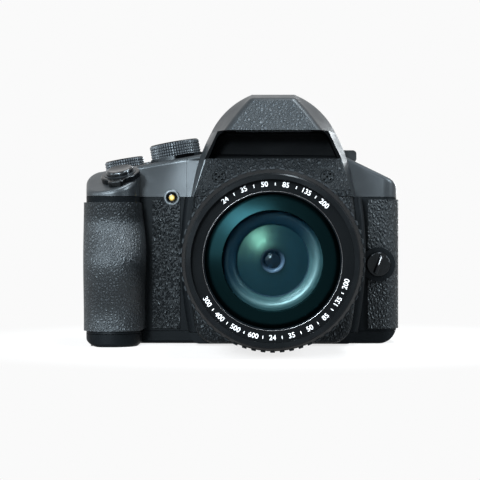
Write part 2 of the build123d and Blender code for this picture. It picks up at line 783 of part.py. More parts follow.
def microphone(x):
    """Round groove and five holes of one microphone, square to the folded part of the panel."""
    rise = RECESS_BASE_Z - PANEL_BEND_Z
    run = PANEL_TOP_Y - PANEL_TOP_THICKNESS - PANEL_FRONT_Y
    tilt = degrees(atan2(run, rise))
    face_y = PANEL_FRONT_Y + run * (MIC_Z - PANEL_BEND_Z) / rise
    place = Pos(x, face_y, MIC_Z) * Rot(90 - tilt, 0, 0)
    ring = Cylinder(MIC_RADIUS, 2 * MIC_GROOVE) - Cylinder(MIC_RADIUS - MIC_GROOVE, 2 * MIC_GROOVE)
    spots = [(0, 0)] + [(u, v) for u in (-1, 1) for v in (-1, 1)]
    holes = [
        Pos(u * MIC_HOLE_PITCH, v * MIC_HOLE_PITCH, 0) * Cylinder(MIC_HOLE_RADIUS, 2 * MIC_HOLE_DEPTH)
        for u, v in spots
    ]
    return [place * shape for shape in [ring] + holes]


def bottom_cover():
    """Base tray with the foot of the frame, the battery door's opening and its hinge sockets."""
    foot = grip_face(*GRIP_STATION_SHARES[0][1:], 0)
    tray = plan_prism(body_plan(0), 0, BASE_TOP_Z) + plan_prism(foot, 0, BASE_TOP_Z)
    tray &= body_silhouette(0)
    frame = outline(
        (-FRAME_BASE_HALF, BASE_TOP_Z),
        (FRAME_BASE_HALF, BASE_TOP_Z),
        (FRAME_FOOT_HALF, FRAME_FOOT_Z),
        (-FRAME_FOOT_HALF, FRAME_FOOT_Z),
    )
    frame = rounded(
        frame,
        FRAME_FOOT_RADIUS,
        (FRAME_FOOT_HALF, FRAME_FOOT_Z),
        (-FRAME_FOOT_HALF, FRAME_FOOT_Z),
    )
    tray = fillet(tray.faces().sort_by(Axis.Z)[0].outer_wire().edges(), BASE_EDGE)
    tray += front_prism(frame, FRAME_FRONT_Y, SHELL_FRONT_Y + WALL)
    tray -= block(
        (GRIP_WALL_X, SHELL_RIGHT_X - WALL),
        (SHELL_FRONT_Y + WALL, SHELL_REAR_Y - WALL),
        (BASE_PLATE, BASE_TOP_Z + OVERRUN),
    )
    tray += [
        rod_z(SCREW_POST_RADIUS, BASE_PLATE, BASE_TOP_Z, x, y)
        for x, y in screw_places()
    ]
    tray -= [
        rod_z(SCREW_HEAD_RADIUS, -OVERRUN, SCREW_SINK + SCREW_HEAD_HEIGHT, x, y)
        for x, y in screw_places()
    ]
    tray -= screw_holes()
    tray -= rod_z(SOCKET_OUTER_RADIUS, -OVERRUN, BASE_PLATE + OVERRUN, 0, 0)
    tray -= block(
        (BATTERY_DOOR_LEFT_X - FIT, BATTERY_DOOR_RIGHT_X + FIT),
        (BATTERY_DOOR_FRONT_Y - FIT, BATTERY_DOOR_HINGE_Y + DOOR_THICKNESS / 2 + FIT),
        (-OVERRUN, battery_base_z()),
    )
    tray -= block(
        (BATTERY_LEFT_X, BATTERY_RIGHT_X + FIT),
        (BATTERY_FRONT_Y - FIT, BATTERY_REAR_Y + FIT),
        (-OVERRUN, BASE_TOP_Z + OVERRUN),
    )
    return tray - battery_door_pin(RUNNING_FIT)


def battery_door_pin(growth):
    """Hinge pin of the battery door, or the hole that it turns in."""
    return rod_x(
        DOOR_PIN_RADIUS + growth,
        BATTERY_DOOR_LEFT_X - DOOR_PIN_REACH - growth,
        BATTERY_DOOR_RIGHT_X + DOOR_PIN_REACH + growth,
        BATTERY_DOOR_HINGE_Y,
        BATTERY_DOOR_LIFT + DOOR_THICKNESS / 2,
    )


def battery_door():
    """Flat door with a rolled rear edge that carries the hinge pin."""
    z_low = BATTERY_DOOR_LIFT
    plate = block(
        (BATTERY_DOOR_LEFT_X, BATTERY_DOOR_RIGHT_X),
        (BATTERY_DOOR_FRONT_Y, BATTERY_DOOR_HINGE_Y),
        (z_low, z_low + DOOR_THICKNESS),
    )
    roll = rod_x(
        DOOR_THICKNESS / 2,
        BATTERY_DOOR_LEFT_X,
        BATTERY_DOOR_RIGHT_X,
        BATTERY_DOOR_HINGE_Y,
        z_low + DOOR_THICKNESS / 2,
    )
    return plate + roll + battery_door_pin(0)


def rear_cover():
    """Rear shell with the screen recess, its hinge ears, the control holes and the two door openings."""
    shell = plan_prism(body_plan(0), BASE_HEIGHT, COVER_TOP_Z)
    shell &= block(
        (SHELL_LEFT_X, SHELL_RIGHT_X),
        (SHELL_SPLIT_Y, SHELL_REAR_Y),
        (BASE_HEIGHT, COVER_TOP_Z),
    )
    shell &= body_silhouette(0)
    shell -= block(
        (SHELL_LEFT_X + WALL, SHELL_RIGHT_X - WALL),
        (SHELL_SPLIT_Y - OVERRUN, CAVITY_REAR_Y),
        (BASE_HEIGHT - OVERRUN, COVER_TOP_Z - CAVITY_ROOF),
    )
    shell += [screw_post(x, SCREW_REAR_Y) for x in (-SCREW_X, SCREW_X)]
    shell += [rod_y(BOARD_POST_RADIUS, BOARD_Y + BOARD_THICKNESS, CAVITY_REAR_Y, x, z) for x, z in board_posts()]
    recess = slab_face(
        SCREEN_LEFT_X - FIT,
        SCREEN_RIGHT_X + FIT,
        LOWER_AXIS_Z - HINGE_RADIUS - 2 * FIT,
        SCREEN_TOP_Z + SCREEN_TOP_GAP,
        SCREEN_RADIUS,
    )
    shell -= front_prism(recess, SCREEN_RECESS_Y, SHELL_REAR_Y + OVERRUN)
    shell += lower_ears()
    shell -= rod_x(
        HINGE_PIN_RADIUS + RUNNING_FIT,
        BARREL_LEFT_X - HINGE_PIN_REACH - FIT,
        BARREL_RIGHT_X + HINGE_PIN_REACH + FIT,
        LOWER_AXIS_Y,
        LOWER_AXIS_Z,
    )
    for x, z in key_places().values():
        shell -= rod_y(KEY_RADIUS + RUNNING_FIT, key_floor_y(), SHELL_REAR_Y + OVERRUN, x, z)
    shell -= rod_y(PAD_RADIUS + RUNNING_FIT, key_floor_y(), SHELL_REAR_Y + OVERRUN, PAD_X, PAD_Z)
    shell -= side_door_space(SHELL_LEFT_X, -1, CARD_DOOR_REAR_Y, CARD_DOOR_BASE_Z, CARD_DOOR_TOP_Z)
    shell -= side_door_space(SHELL_RIGHT_X, 1, TERMINAL_DOOR_REAR_Y, TERMINAL_DOOR_BASE_Z, TERMINAL_DOOR_TOP_Z)
    return shell - screw_holes()


def board_posts():
    """Places of the posts that hold the main board."""
    return [
        (x, z)
        for x in (BOARD_LEFT_X + BOARD_POST_INSET, BOARD_RIGHT_X - BOARD_POST_INSET)
        for z in (BOARD_BASE_Z + BOARD_POST_INSET, BOARD_TOP_Z - BOARD_POST_INSET)
    ]


def lower_ears():
    """Ears on the rear cover that the screen bracket's barrel turns between."""
    ears = []
    for x_low in (BARREL_LEFT_X - FIT - EAR_WIDTH, BARREL_RIGHT_X + FIT):
        x_limits = (x_low, x_low + EAR_WIDTH)
        arm = block(
            x_limits,
            (SCREEN_RECESS_Y, LOWER_AXIS_Y),
            (LOWER_AXIS_Z - HINGE_RADIUS, LOWER_AXIS_Z + HINGE_RADIUS),
        )
        ears.append(arm + rod_x(HINGE_RADIUS, *x_limits, LOWER_AXIS_Y, LOWER_AXIS_Z))
    return ears


def key_places():
    """Positions of the round keys on the rear, by node name."""
    return {
        "ae_lock_button": (LOCK_KEY_X, LOCK_KEY_Z),
        "movie_button": (MOVIE_KEY_X, MOVIE_KEY_Z),
        "display_button": (DISPLAY_KEY_X, DISPLAY_KEY_Z),
        "playback_button": (PLAY_KEY_X, PLAY_KEY_Z),
    }


def key_floor_y():
    """Floor of the holes that the rear keys slide in."""
    return SHELL_REAR_Y - KEY_SINK - KEY_TRAVEL - FIT


def rear_key(node):
    """Round key with a softened rim."""
    x, z = key_places()[node]
    key = rod_y(KEY_RADIUS, SHELL_REAR_Y - KEY_SINK, SHELL_REAR_Y + KEY_PROUD, x, z)
    return fillet(key.faces().sort_by(Axis.Y)[-1].edges(), SOFT_EDGE)


def four_way_pad():
    """Ring-shaped pad with a dished face and a hole for the centre button."""
    pad = rod_y(PAD_RADIUS, SHELL_REAR_Y - KEY_SINK, SHELL_REAR_Y + KEY_PROUD, PAD_X, PAD_Z)
    pad = fillet(pad.faces().sort_by(Axis.Y)[-1].edges(), SOFT_EDGE)
    return pad - rod_y(PAD_BORE, SHELL_FRONT_Y, SHELL_REAR_Y + OVERRUN, PAD_X, PAD_Z)


def ok_button():
    """Centre button of the pad."""
    key = rod_y(OK_RADIUS, SHELL_REAR_Y - KEY_SINK, SHELL_REAR_Y + KEY_PROUD + FIT, PAD_X, PAD_Z)
    return fillet(key.faces().sort_by(Axis.Y)[-1].edges(), SOFT_EDGE)


def side_door_axis_x(side_x, side):
    """Hinge line of a side door, half its thickness inside its outer face."""
    return side_x + side * (DOOR_PROUD - DOOR_THICKNESS / 2)


def side_door_space(side_x, side, rear_y, base_z, top_z):
    """Pocket, ledge opening and hinge sockets of a door on one side of the body."""
    axis_x = side_door_axis_x(side_x, side)
    inner = axis_x - side * (DOOR_THICKNESS / 2 + FIT / 2)
    outer = side_x + side * OVERRUN
    pocket = block(
        sorted((inner, outer)),
        (SIDE_DOOR_HINGE_Y - DOOR_THICKNESS / 2 - FIT, rear_y + FIT),
        (base_z - FIT, top_z + FIT),
    )
    opening = block(
        sorted((side_x - side * (WALL + FIT), outer)),
        (SIDE_DOOR_HINGE_Y + DOOR_LEDGE, rear_y - DOOR_LEDGE),
        (base_z + DOOR_LEDGE, top_z - DOOR_LEDGE),
    )
    sockets = rod_z(
        DOOR_PIN_RADIUS + RUNNING_FIT,
        base_z - DOOR_PIN_REACH - FIT,
        top_z + DOOR_PIN_REACH + FIT,
        axis_x,
        SIDE_DOOR_HINGE_Y,
    )
    return [pocket, opening, sockets]


def side_door(side_x, side, rear_y, base_z, top_z):
    """Flat door on one side of the body, hinged at its front edge."""
    axis_x = side_door_axis_x(side_x, side)
    half = DOOR_THICKNESS / 2
    plate = block((axis_x - half, axis_x + half), (SIDE_DOOR_HINGE_Y, rear_y), (base_z, top_z))
    roll = rod_z(half, base_z, top_z, axis_x, SIDE_DOOR_HINGE_Y)
    pin = rod_z(DOOR_PIN_RADIUS, base_z - DOOR_PIN_REACH, top_z + DOOR_PIN_REACH, axis_x, SIDE_DOOR_HINGE_Y)
    return plate + roll + pin


def card_door():
    """Door over the memory card slot on the grip side."""
    return side_door(SHELL_LEFT_X, -1, CARD_DOOR_REAR_Y, CARD_DOOR_BASE_Z, CARD_DOOR_TOP_Z)


def terminal_door():
    """Door over the sockets on the other side."""
    return side_door(SHELL_RIGHT_X, 1, TERMINAL_DOOR_REAR_Y, TERMINAL_DOOR_BASE_Z, TERMINAL_DOOR_TOP_Z)


def grip_rubber():
    """Rubber wrapped round the grip, one skin thick."""
    wrap = grip_lobe(GRIP_RUBBER) & block(
        (SHELL_LEFT_X - OVERRUN, GRIP_WALL_X + OVERRUN),
        (SHELL_FRONT_Y - GRIP_DEPTH - OVERRUN, SHELL_SPLIT_Y - GRIP_RUBBER_MARGIN),
        (BASE_HEIGHT + GRIP_RUBBER_MARGIN, COVER_TOP_Z - GRIP_RUBBER_TOP_MARGIN),
    )
    wrap -= block(
        (SHELL_LEFT_X, SHELL_RIGHT_X),
        (SHELL_FRONT_Y, SHELL_SPLIT_Y),
        (0, SHOULDER_Z),
    )
    return wrap - grip_lobe(0)


def body_leather():
    """Grained skin between the grip and the frame, and from the frame round the right side."""
    growth = SKIN
    skin = plan_prism(body_plan(growth), BASE_HEIGHT + LEATHER_MARGIN, COVER_TOP_Z - LEATHER_MARGIN)
    skin &= body_silhouette(growth)
    skin -= plan_prism(body_plan(0), 0, SHOULDER_Z)
    left = skin & block(
        (LEATHER_LEFT_X, -FRAME_MIDDLE_HALF - SKIN),
        (SHELL_FRONT_Y - OVERRUN, SHELL_FRONT_Y),
        (0, SHOULDER_Z),
    )
    left -= lamp_bore()
    right = skin & block(
        (LEATHER_RIGHT_X, SHELL_RIGHT_X + OVERRUN),
        (SHELL_FRONT_Y - OVERRUN, SHELL_SPLIT_Y - LEATHER_MARGIN),
        (0, SHOULDER_Z),
    )
    right -= rod_y(SELECTOR_RING_RADIUS, SHELL_FRONT_Y - OVERRUN, SHELL_FRONT_Y + WALL, SELECTOR_X, SELECTOR_Z)
    return Compound(children=[left, right])


def thumb_rest():
    """Rubber rest for the thumb on the rear."""
    face = slab_face(THUMB_LEFT_X, THUMB_RIGHT_X, THUMB_BASE_Z, THUMB_TOP_Z, THUMB_RADIUS)
    pad = front_prism(face, SHELL_REAR_Y, SHELL_REAR_Y + THUMB_PROUD)
    return fillet(pad.faces().sort_by(Axis.Y)[-1].edges(), THUMB_EDGE)


def base_screws():
    """Four screws that hold the base tray to the covers."""
    screws = []
    for x, y in screw_places():
        head = rod_z(SCREW_HEAD_RADIUS, SCREW_SINK, SCREW_SINK + SCREW_HEAD_HEIGHT, x, y)
        screws.append(head + rod_z(SCREW_SHANK_RADIUS, SCREW_SINK, SCREW_TOP_Z, x, y))
    return Compound(children=screws)


def tripod_socket():
    """Threaded bush with a flange that rests inside the base plate."""
    bush = rod_z(SOCKET_OUTER_RADIUS, 0, SOCKET_LENGTH, 0, 0)
    bush += rod_z(SOCKET_FLANGE_RADIUS, BASE_PLATE, BASE_PLATE + SOCKET_FLANGE, 0, 0)
    return bush - rod_z(SOCKET_RADIUS, -OVERRUN, OVERRUN, 0, 0)


def deck():
    """Frame of the tilted shooting deck."""
    return Pos(DECK_ORIGIN_X, 0, DECK_ORIGIN_Z) * Rot(0, -DECK_TILT, 0)


def slope():
    """Frame of the slope that falls forward from the deck to the grip's nose."""
    return deck() * Pos(0, DECK_FRONT_Y, 0) * Rot(SLOPE_TILT, 0, 0)


def shutter_place():
    """Frame of the shutter button on the slope."""
    return slope() * Pos(0, -SHUTTER_REACH, 0)


def arch_lines(points):
    """Mirrored pairs of lines or arcs through half widths and heights, crown first."""
    sides = []
    for run in points:
        mirrored = [(-half, z) for half, z in reversed(run)]
        for line in (run, mirrored):
            sides.append(ThreePointArc(*line) if len(line) > 2 else Line(*line))
    return sides


def arch_runs():
    """Runs of the hump's arch as half widths and heights: crown arc, flank arc and foot line."""
    return [
        [
            (HUMP_CROWN_HALF, HUMP_TOP_Z),
            (HUMP_BROW_HALF, HUMP_BROW_Z),
            (HUMP_SHELF_HALF, HUMP_SHELF_Z),
        ],
        [
            (HUMP_SHELF_HALF, HUMP_SHELF_Z),
            (HUMP_SIDE_HALF, HUMP_SIDE_Z),
            (HUMP_HIP_HALF, HUMP_HIP_Z),
        ],
        [(HUMP_HIP_HALF, HUMP_HIP_Z), (HUMP_FOOT_HALF, SHOULDER_Z)],
    ]


def hump_face():
    """Whole arch of the hump in front view, from the shoulder seam to the crown."""
    crown = Line((-HUMP_CROWN_HALF, HUMP_TOP_Z), (HUMP_CROWN_HALF, HUMP_TOP_Z))
    foot = Line((-HUMP_FOOT_HALF, SHOULDER_Z), (HUMP_FOOT_HALF, SHOULDER_Z))
    return make_face(arch_lines(arch_runs()) + [crown, foot])


def head_face():
    """Arch of the flash head in front view, above the shelf."""
    crown = Line((-HUMP_CROWN_HALF, HUMP_TOP_Z), (HUMP_CROWN_HALF, HUMP_TOP_Z))
    foot = Line((-HUMP_SHELF_HALF, HUMP_SHELF_Z), (HUMP_SHELF_HALF, HUMP_SHELF_Z))
    return make_face(arch_lines(arch_runs()[:1]) + [crown, foot])


def shoulder_prism():
    """Sloping shoulders in front view, carried through the whole depth."""
    face = outline(
        (SHOULDER_LEFT_X, SHOULDER_Z),
        (SHOULDER_LEFT_X, SHOULDER_LEFT_TOP_Z),
        (SHOULDER_CREST_X, SHOULDER_CREST_Z),
        (SHOULDER_RIGHT_TOP_X, SHOULDER_RIGHT_TOP_Z),
        (SHELL_RIGHT_X, SHOULDER_RIGHT_END_Z),
        (SHELL_RIGHT_X, SHOULDER_Z),
    )
    face = rounded(
        face,
        SHOULDER_RADIUS,
        (SHOULDER_LEFT_X, SHOULDER_LEFT_TOP_Z),
        (SHELL_RIGHT_X, SHOULDER_RIGHT_END_Z),
    )
    return front_prism(face, SHELL_FRONT_Y - GRIP_DEPTH - OVERRUN, SHELL_REAR_Y)


def grip_head():
    """Head of the grip above the seam, cut by the forward slope and softened round its rim."""
    lobe = plan_prism(grip_face(*GRIP_STATION_SHARES[-1][1:], 0), SHOULDER_Z, HUMP_TOP_Z)
    over = slope() * block(
        (-GRIP_WIDTH * 2, GRIP_WIDTH * 2),
        (-GRIP_DEPTH * 2, GRIP_DEPTH * 2),
        (0, HUMP_TOP_Z),
    )
    nose = lobe - over
    nose = fillet(nose.faces().sort_by(Axis.Z)[-1].edges(), NOSE_EDGE)
    return nose & shoulder_prism()


def shoulders():
    """Sloping shoulders over the body's plan, softened along their front and rear."""
    body = shoulder_prism() & plan_prism(body_plan(0), SHOULDER_Z, HUMP_TOP_Z)
    rims = [
        edge
        for edge in body.edges().filter_by_position(Axis.Z, SHOULDER_Z + SHOULDER_EDGE, HUMP_TOP_Z)
        if min(abs(edge.center().Y - y) for y in (SHELL_FRONT_Y, SHELL_REAR_Y)) < SEAM
    ]
    return fillet(rims, SHOULDER_EDGE)


def flank_face():
    """Front outline of the fixed hump, whose corners match the arch's corners behind it."""
    rows = [
        (FLANK_SHELF_HALF, HUMP_SHELF_Z),
        (FLANK_HIP_HALF, FLANK_HIP_Z),
        (FLANK_FOOT_HALF, SHOULDER_Z),
    ]
    return outline(*rows, *[(-half, z) for half, z in reversed(rows)])


def lower_arch_face():
    """Arch of the fixed hump in front view, from the shoulder seam to the shelf."""
    runs = arch_runs()[1:]
    shelf = Line((-HUMP_SHELF_HALF, HUMP_SHELF_Z), (HUMP_SHELF_HALF, HUMP_SHELF_Z))
    foot = Line((-HUMP_FOOT_HALF, SHOULDER_Z), (HUMP_FOOT_HALF, SHOULDER_Z))
    return make_face(arch_lines(runs) + [shelf, foot])


def hump():
    """Fixed part of the hump, with the shelf, the recess and the trough the flash head turns in."""
    profile = outline(
        (FRAME_FRONT_Y, SHOULDER_Z),
        (FRAME_FRONT_Y, PANEL_BEND_Z),
        (PANEL_TOP_Y, RECESS_BASE_Z),
        (HUMP_SHELF_FRONT_Y, SHELF_TOP_Z),
        (HEAD_REAR_Y + FIT, SHELF_TOP_Z),
        (HEAD_REAR_Y + FIT, HUMP_CREST_Z),
        (HUMP_CREST_REAR_Y, HUMP_CREST_Z),
        (SHELL_REAR_Y, HUMP_REAR_Z),
        (SHELL_REAR_Y, SHOULDER_Z),
    )
    flanks = loft(
        [
            Pos(0, FLANK_FRONT_Y, 0) * (Plane.XZ * flank_face()),
            Pos(0, HEAD_FULL_Y, 0) * (Plane.XZ * lower_arch_face()),
        ]
    )
    body = flanks + front_prism(hump_face(), HEAD_FULL_Y, SHELL_REAR_Y)
    body &= side_prism(profile, -HUMP_FOOT_HALF, HUMP_FOOT_HALF)
    recess = outline(
        (-RECESS_BASE_HALF, RECESS_BASE_Z),
        (-RECESS_TOP_HALF, HUMP_SHELF_Z),
        (RECESS_TOP_HALF, HUMP_SHELF_Z),
        (RECESS_BASE_HALF, RECESS_BASE_Z),
    )
    recess = rounded(
        recess,
        RECESS_RADIUS,
        (-RECESS_TOP_HALF, HUMP_SHELF_Z),
        (RECESS_TOP_HALF, HUMP_SHELF_Z),
    )
    body -= front_prism(recess, FLANK_FRONT_Y - OVERRUN, RECESS_REAR_Y)
    return body - rod_x(
        HEAD_BARREL_RADIUS + FIT,
        -HUMP_FOOT_HALF,
        HUMP_FOOT_HALF,
        HEAD_AXIS_Y,
        HEAD_AXIS_Z,
    )


def finder_housing():
    """Rounded housing behind the hump that carries the eyepiece."""
    face = slab_face(-FINDER_HALF_WIDTH, FINDER_HALF_WIDTH, FINDER_BASE_Z, FINDER_TOP_Z, FINDER_RADIUS)
    return front_prism(face, SHELL_REAR_Y - WALL, FINDER_REAR_Y)


def head_lugs():
    """Two lugs with pins that carry the flash head."""
    lugs = []
    for side in (-1, 1):
        x_limits = sorted((side * HEAD_LUG_X, side * (HEAD_LUG_X + HEAD_LUG_WIDTH)))
        arm = block(
            x_limits,
            (HEAD_AXIS_Y, HEAD_AXIS_Y + HEAD_LUG_REACH),
            (HEAD_AXIS_Z - HEAD_LUG_RADIUS, HEAD_AXIS_Z),
        )
        eye = rod_x(HEAD_LUG_RADIUS, *x_limits, HEAD_AXIS_Y, HEAD_AXIS_Z)
        pin = rod_x(
            HEAD_PIN_RADIUS,
            x_limits[0] - HEAD_PIN_REACH,
            x_limits[1] + HEAD_PIN_REACH,
            HEAD_AXIS_Y,
            HEAD_AXIS_Z,
        )
        lugs.append(arm + eye + pin)
    return lugs


def top_cover():
    """Top shell: shoulders, grip head, hump, finder housing, and the seats of every control."""
    shell = shoulders() + grip_head() + hump()
    shell += finder_housing()
    boss = Cylinder(MODE_BOSS_RADIUS, 2 * MODE_BOSS_HEIGHT)
    shell += deck() * Pos(MODE_DIAL_X, MODE_DIAL_Y, 0) * boss
    shell += shutter_place() * Cylinder(LEVER_BORE - RUNNING_FIT, 2 * (LEVER_HEIGHT + FIT))
    shell += head_lugs()
    shell -= top_cavities()
    shell -= control_holes()
    shell -= shoe_seat()
    shell -= strap_pockets()
    shell -= lamp_bore()
    shell -= lens_bore()
    shell -= rod_y(FINDER_BORE, FINDER_FRONT_Y, FINDER_REAR_Y + OVERRUN, 0, FINDER_Z)
    return shell - top_seam()


def top_cavities():
    """Hollows under the hump, the deck, the grip head and the right shoulder."""
    rear = TOP_CAVITY_REAR_Y
    below = SHOULDER_Z - OVERRUN
    return [
        block((-HUMP_CAVITY_HALF, HUMP_CAVITY_HALF), (SHELL_FRONT_Y + WALL, rear), (below, HUMP_CAVITY_TOP_Z)),
        block((BATTERY_LEFT_X, DECK_CAVITY_RIGHT_X), (SHELL_FRONT_Y + WALL * 2, rear), (below, DECK_CAVITY_TOP_Z)),
        block(
            (SIDE_CAVITY_LEFT_X, SHELL_RIGHT_X - STRAP_POCKET_DEPTH - WALL),
            (SHELL_FRONT_Y + WALL, rear),
            (below, SIDE_CAVITY_TOP_Z),
        ),
    ]


def control_holes():
    """Holes for the dials' stems, the buttons, the shutter and the eyesight dial."""
    stem = Cylinder(DIAL_STEM_RADIUS + RUNNING_FIT, 2 * (DIAL_STEM_LENGTH + FIT))
    button = Cylinder(DECK_BUTTON_RADIUS + RUNNING_FIT, 2 * (DECK_BUTTON_SINK + KEY_TRAVEL + FIT))
    release = Cylinder(SHUTTER_RADIUS + RUNNING_FIT, 2 * (SHUTTER_SINK + SHUTTER_TRAVEL + FIT) + OVERRUN)
    flank = block(
        (RELEASE_ROOT_X - RELEASE_TRAVEL - FIT, RELEASE_OUTER_X + FIT),
        (RELEASE_Y - RELEASE_LENGTH / 2 - RUNNING_FIT, RELEASE_Y + RELEASE_LENGTH / 2 + RUNNING_FIT),
        (RELEASE_BASE_Z - RUNNING_FIT, RELEASE_TOP_Z + RUNNING_FIT),
    )
    wheel = rod_x(
        DIOPTER_STEM_RADIUS + RUNNING_FIT,
        -FINDER_HALF_WIDTH - OVERRUN,
        -FINDER_HALF_WIDTH + DIOPTER_STEM_LENGTH + FIT,
        diopter_y(),
        FINDER_Z,
    )
    holes = [
        deck() * Pos(MODE_DIAL_X, MODE_DIAL_Y, MODE_BOSS_HEIGHT) * stem,
        deck() * Pos(0, COMMAND_DIAL_Y, 0) * stem,
        shutter_place() * Pos(0, 0, OVERRUN / 2) * release,
        flank,
        wheel,
    ]
    return holes + [deck() * Pos(DECK_BUTTON_X, y, 0) * button for y in deck_button_rows()]


def deck_button_rows():
    """Places of the two small deck buttons along the deck."""
    return [DECK_BUTTON_FRONT_Y, DECK_BUTTON_FRONT_Y + DECK_BUTTON_PITCH]


def diopter_y():
    """Middle of the finder housing, where the eyesight dial sits."""
    return SHELL_REAR_Y + FINDER_LENGTH / 2


def shoe_seat():
    """Pocket for the accessory shoe in the hump's crest."""
    return block(
        (-SHOE_WIDTH / 2, SHOE_WIDTH / 2),
        (SHOE_FRONT_Y, SHELL_REAR_Y + OVERRUN),
        (SHOE_FLOOR_Z, HUMP_TOP_Z),
    )


def strap_side(side):
    """Outer face of the top cover on one side."""
    return SHOULDER_LEFT_X if side < 0 else SHELL_RIGHT_X


def strap_bar(side):
    """Upright bar across one strap pocket, with its ends set into the cover."""
    return rod_z(
        STRAP_BAR_RADIUS,
        STRAP_Z - STRAP_POCKET_HEIGHT / 2 - STRAP_BAR_SEAT,
        STRAP_Z + STRAP_POCKET_HEIGHT / 2 + STRAP_BAR_SEAT,
        strap_side(side) - side * STRAP_BAR_INSET,
        STRAP_Y,
    )


def strap_pockets():
    """Pocket and bar seats on both sides."""
    cuts = []
    for side in (-1, 1):
        face_x = strap_side(side)
        cuts.append(
            block(
                sorted((face_x - side * STRAP_POCKET_DEPTH, face_x + side * OVERRUN)),
                (STRAP_Y - STRAP_POCKET_LENGTH / 2, STRAP_Y + STRAP_POCKET_LENGTH / 2),
                (STRAP_Z - STRAP_POCKET_HEIGHT / 2, STRAP_Z + STRAP_POCKET_HEIGHT / 2),
            )
        )
        cuts.append(strap_bar(side))
    return cuts


def strap_lugs():
    """Both strap bars."""
    return Compound(children=[strap_bar(side) for side in (-1, 1)])


def top_seam():
    """Thin upright groove where the deck's moulding meets the hump."""
    return block(
        (TOP_SEAM_X - TOP_SEAM_WIDTH / 2, TOP_SEAM_X + TOP_SEAM_WIDTH / 2),
        (SHELL_FRONT_Y - OVERRUN, SHELL_FRONT_Y + TOP_SEAM_WIDTH),
        (SHOULDER_Z, SHOULDER_CREST_Z),
    )


def flash_head():
    """Hinged front and crown of the hump: a leaning face lofted to the arch, and a rolled rear edge."""
    lean = make_face(
        Polyline(
            (-HEAD_FRONT_HALF, HEAD_FRONT_Y, HUMP_SHELF_Z),
            (HEAD_FRONT_HALF, HEAD_FRONT_Y, HUMP_SHELF_Z),
            (HEAD_FRONT_TOP_HALF, HEAD_FRONT_TOP_Y, HEAD_FRONT_TOP_Z),
            (-HEAD_FRONT_TOP_HALF, HEAD_FRONT_TOP_Y, HEAD_FRONT_TOP_Z),
            close=True,
        )
    )
    nose = loft([lean, Pos(0, HEAD_FULL_Y, 0) * (Plane.XZ * head_face())])
    soft = [
        edge
        for edge in nose.edges()
        if edge.center().Y < HEAD_FULL_Y - HEAD_EDGE and edge.center().Z > HUMP_SHELF_Z + SEAM
    ]
    nose = fillet(soft, HEAD_EDGE)
    back = front_prism(head_face(), HEAD_FULL_Y, HEAD_AXIS_Y + HEAD_BARREL_RADIUS)
    corner = side_prism(
        outline(
            (HEAD_REAR_Y, HUMP_SHELF_Z - OVERRUN),
            (HEAD_REAR_Y, HEAD_AXIS_Z),
            (HEAD_AXIS_Y, HEAD_AXIS_Z),
            (HEAD_AXIS_Y, HUMP_TOP_Z + OVERRUN),
            (SHELL_REAR_Y, HUMP_TOP_Z + OVERRUN),
            (SHELL_REAR_Y, HUMP_SHELF_Z - OVERRUN),
        ),
        -HUMP_FOOT_HALF,
        HUMP_FOOT_HALF,
    )
    barrel = rod_x(HEAD_BARREL_RADIUS, -HUMP_FOOT_HALF, HUMP_FOOT_HALF, HEAD_AXIS_Y, HEAD_AXIS_Z)
    head = nose + (back - (corner - barrel))
    head -= head_pocket()
    for side in (-1, 1):
        x_limits = sorted((side * (HEAD_LUG_X - FIT), side * (HEAD_LUG_X + HEAD_LUG_WIDTH + FIT)))
        head -= block(
            x_limits,
            (HEAD_AXIS_Y - HEAD_LUG_RADIUS - FIT, SHELL_REAR_Y),
            (HEAD_AXIS_Z - HEAD_LUG_RADIUS - FIT, HUMP_TOP_Z + OVERRUN),
        )
        head -= rod_x(
            HEAD_PIN_RADIUS + RUNNING_FIT,
            x_limits[0] - HEAD_PIN_REACH,
            x_limits[1] + HEAD_PIN_REACH,
            HEAD_AXIS_Y,
            HEAD_AXIS_Z,
        )
    return head


def head_pocket():
    """Reflector pocket in the flash head's underside."""
    return block(
        (-HEAD_POCKET_HALF, HEAD_POCKET_HALF),
        (HEAD_POCKET_FRONT_Y, HEAD_POCKET_REAR_Y),
        (HUMP_SHELF_Z - OVERRUN, HUMP_SHELF_Z + HEAD_POCKET_DEPTH),
    )


def flash_window():
    """Ribbed diffuser set in the pocket, leaning so that it faces forward when the head is up."""
    profile = outline(
        (HEAD_POCKET_FRONT_Y, HUMP_SHELF_Z + WINDOW_FRONT_RISE),
        (HEAD_POCKET_REAR_Y, HUMP_SHELF_Z + WINDOW_REAR_RISE),
        (HEAD_POCKET_REAR_Y, HUMP_SHELF_Z + HEAD_POCKET_DEPTH),
        (HEAD_POCKET_FRONT_Y, HUMP_SHELF_Z + HEAD_POCKET_DEPTH),
    )
    return side_prism(profile, -HEAD_POCKET_HALF, HEAD_POCKET_HALF)


def flash_release_button():
    """Release on the hump's flank, with rounded outer corners."""
    key = block(
        (RELEASE_ROOT_X, RELEASE_OUTER_X),
        (RELEASE_Y - RELEASE_LENGTH / 2, RELEASE_Y + RELEASE_LENGTH / 2),
        (RELEASE_BASE_Z, RELEASE_TOP_Z),
    )
    rims = key.faces().sort_by(Axis.X)[-1].edges().filter_by(Axis.Y)
    return fillet(rims, RELEASE_RADIUS)


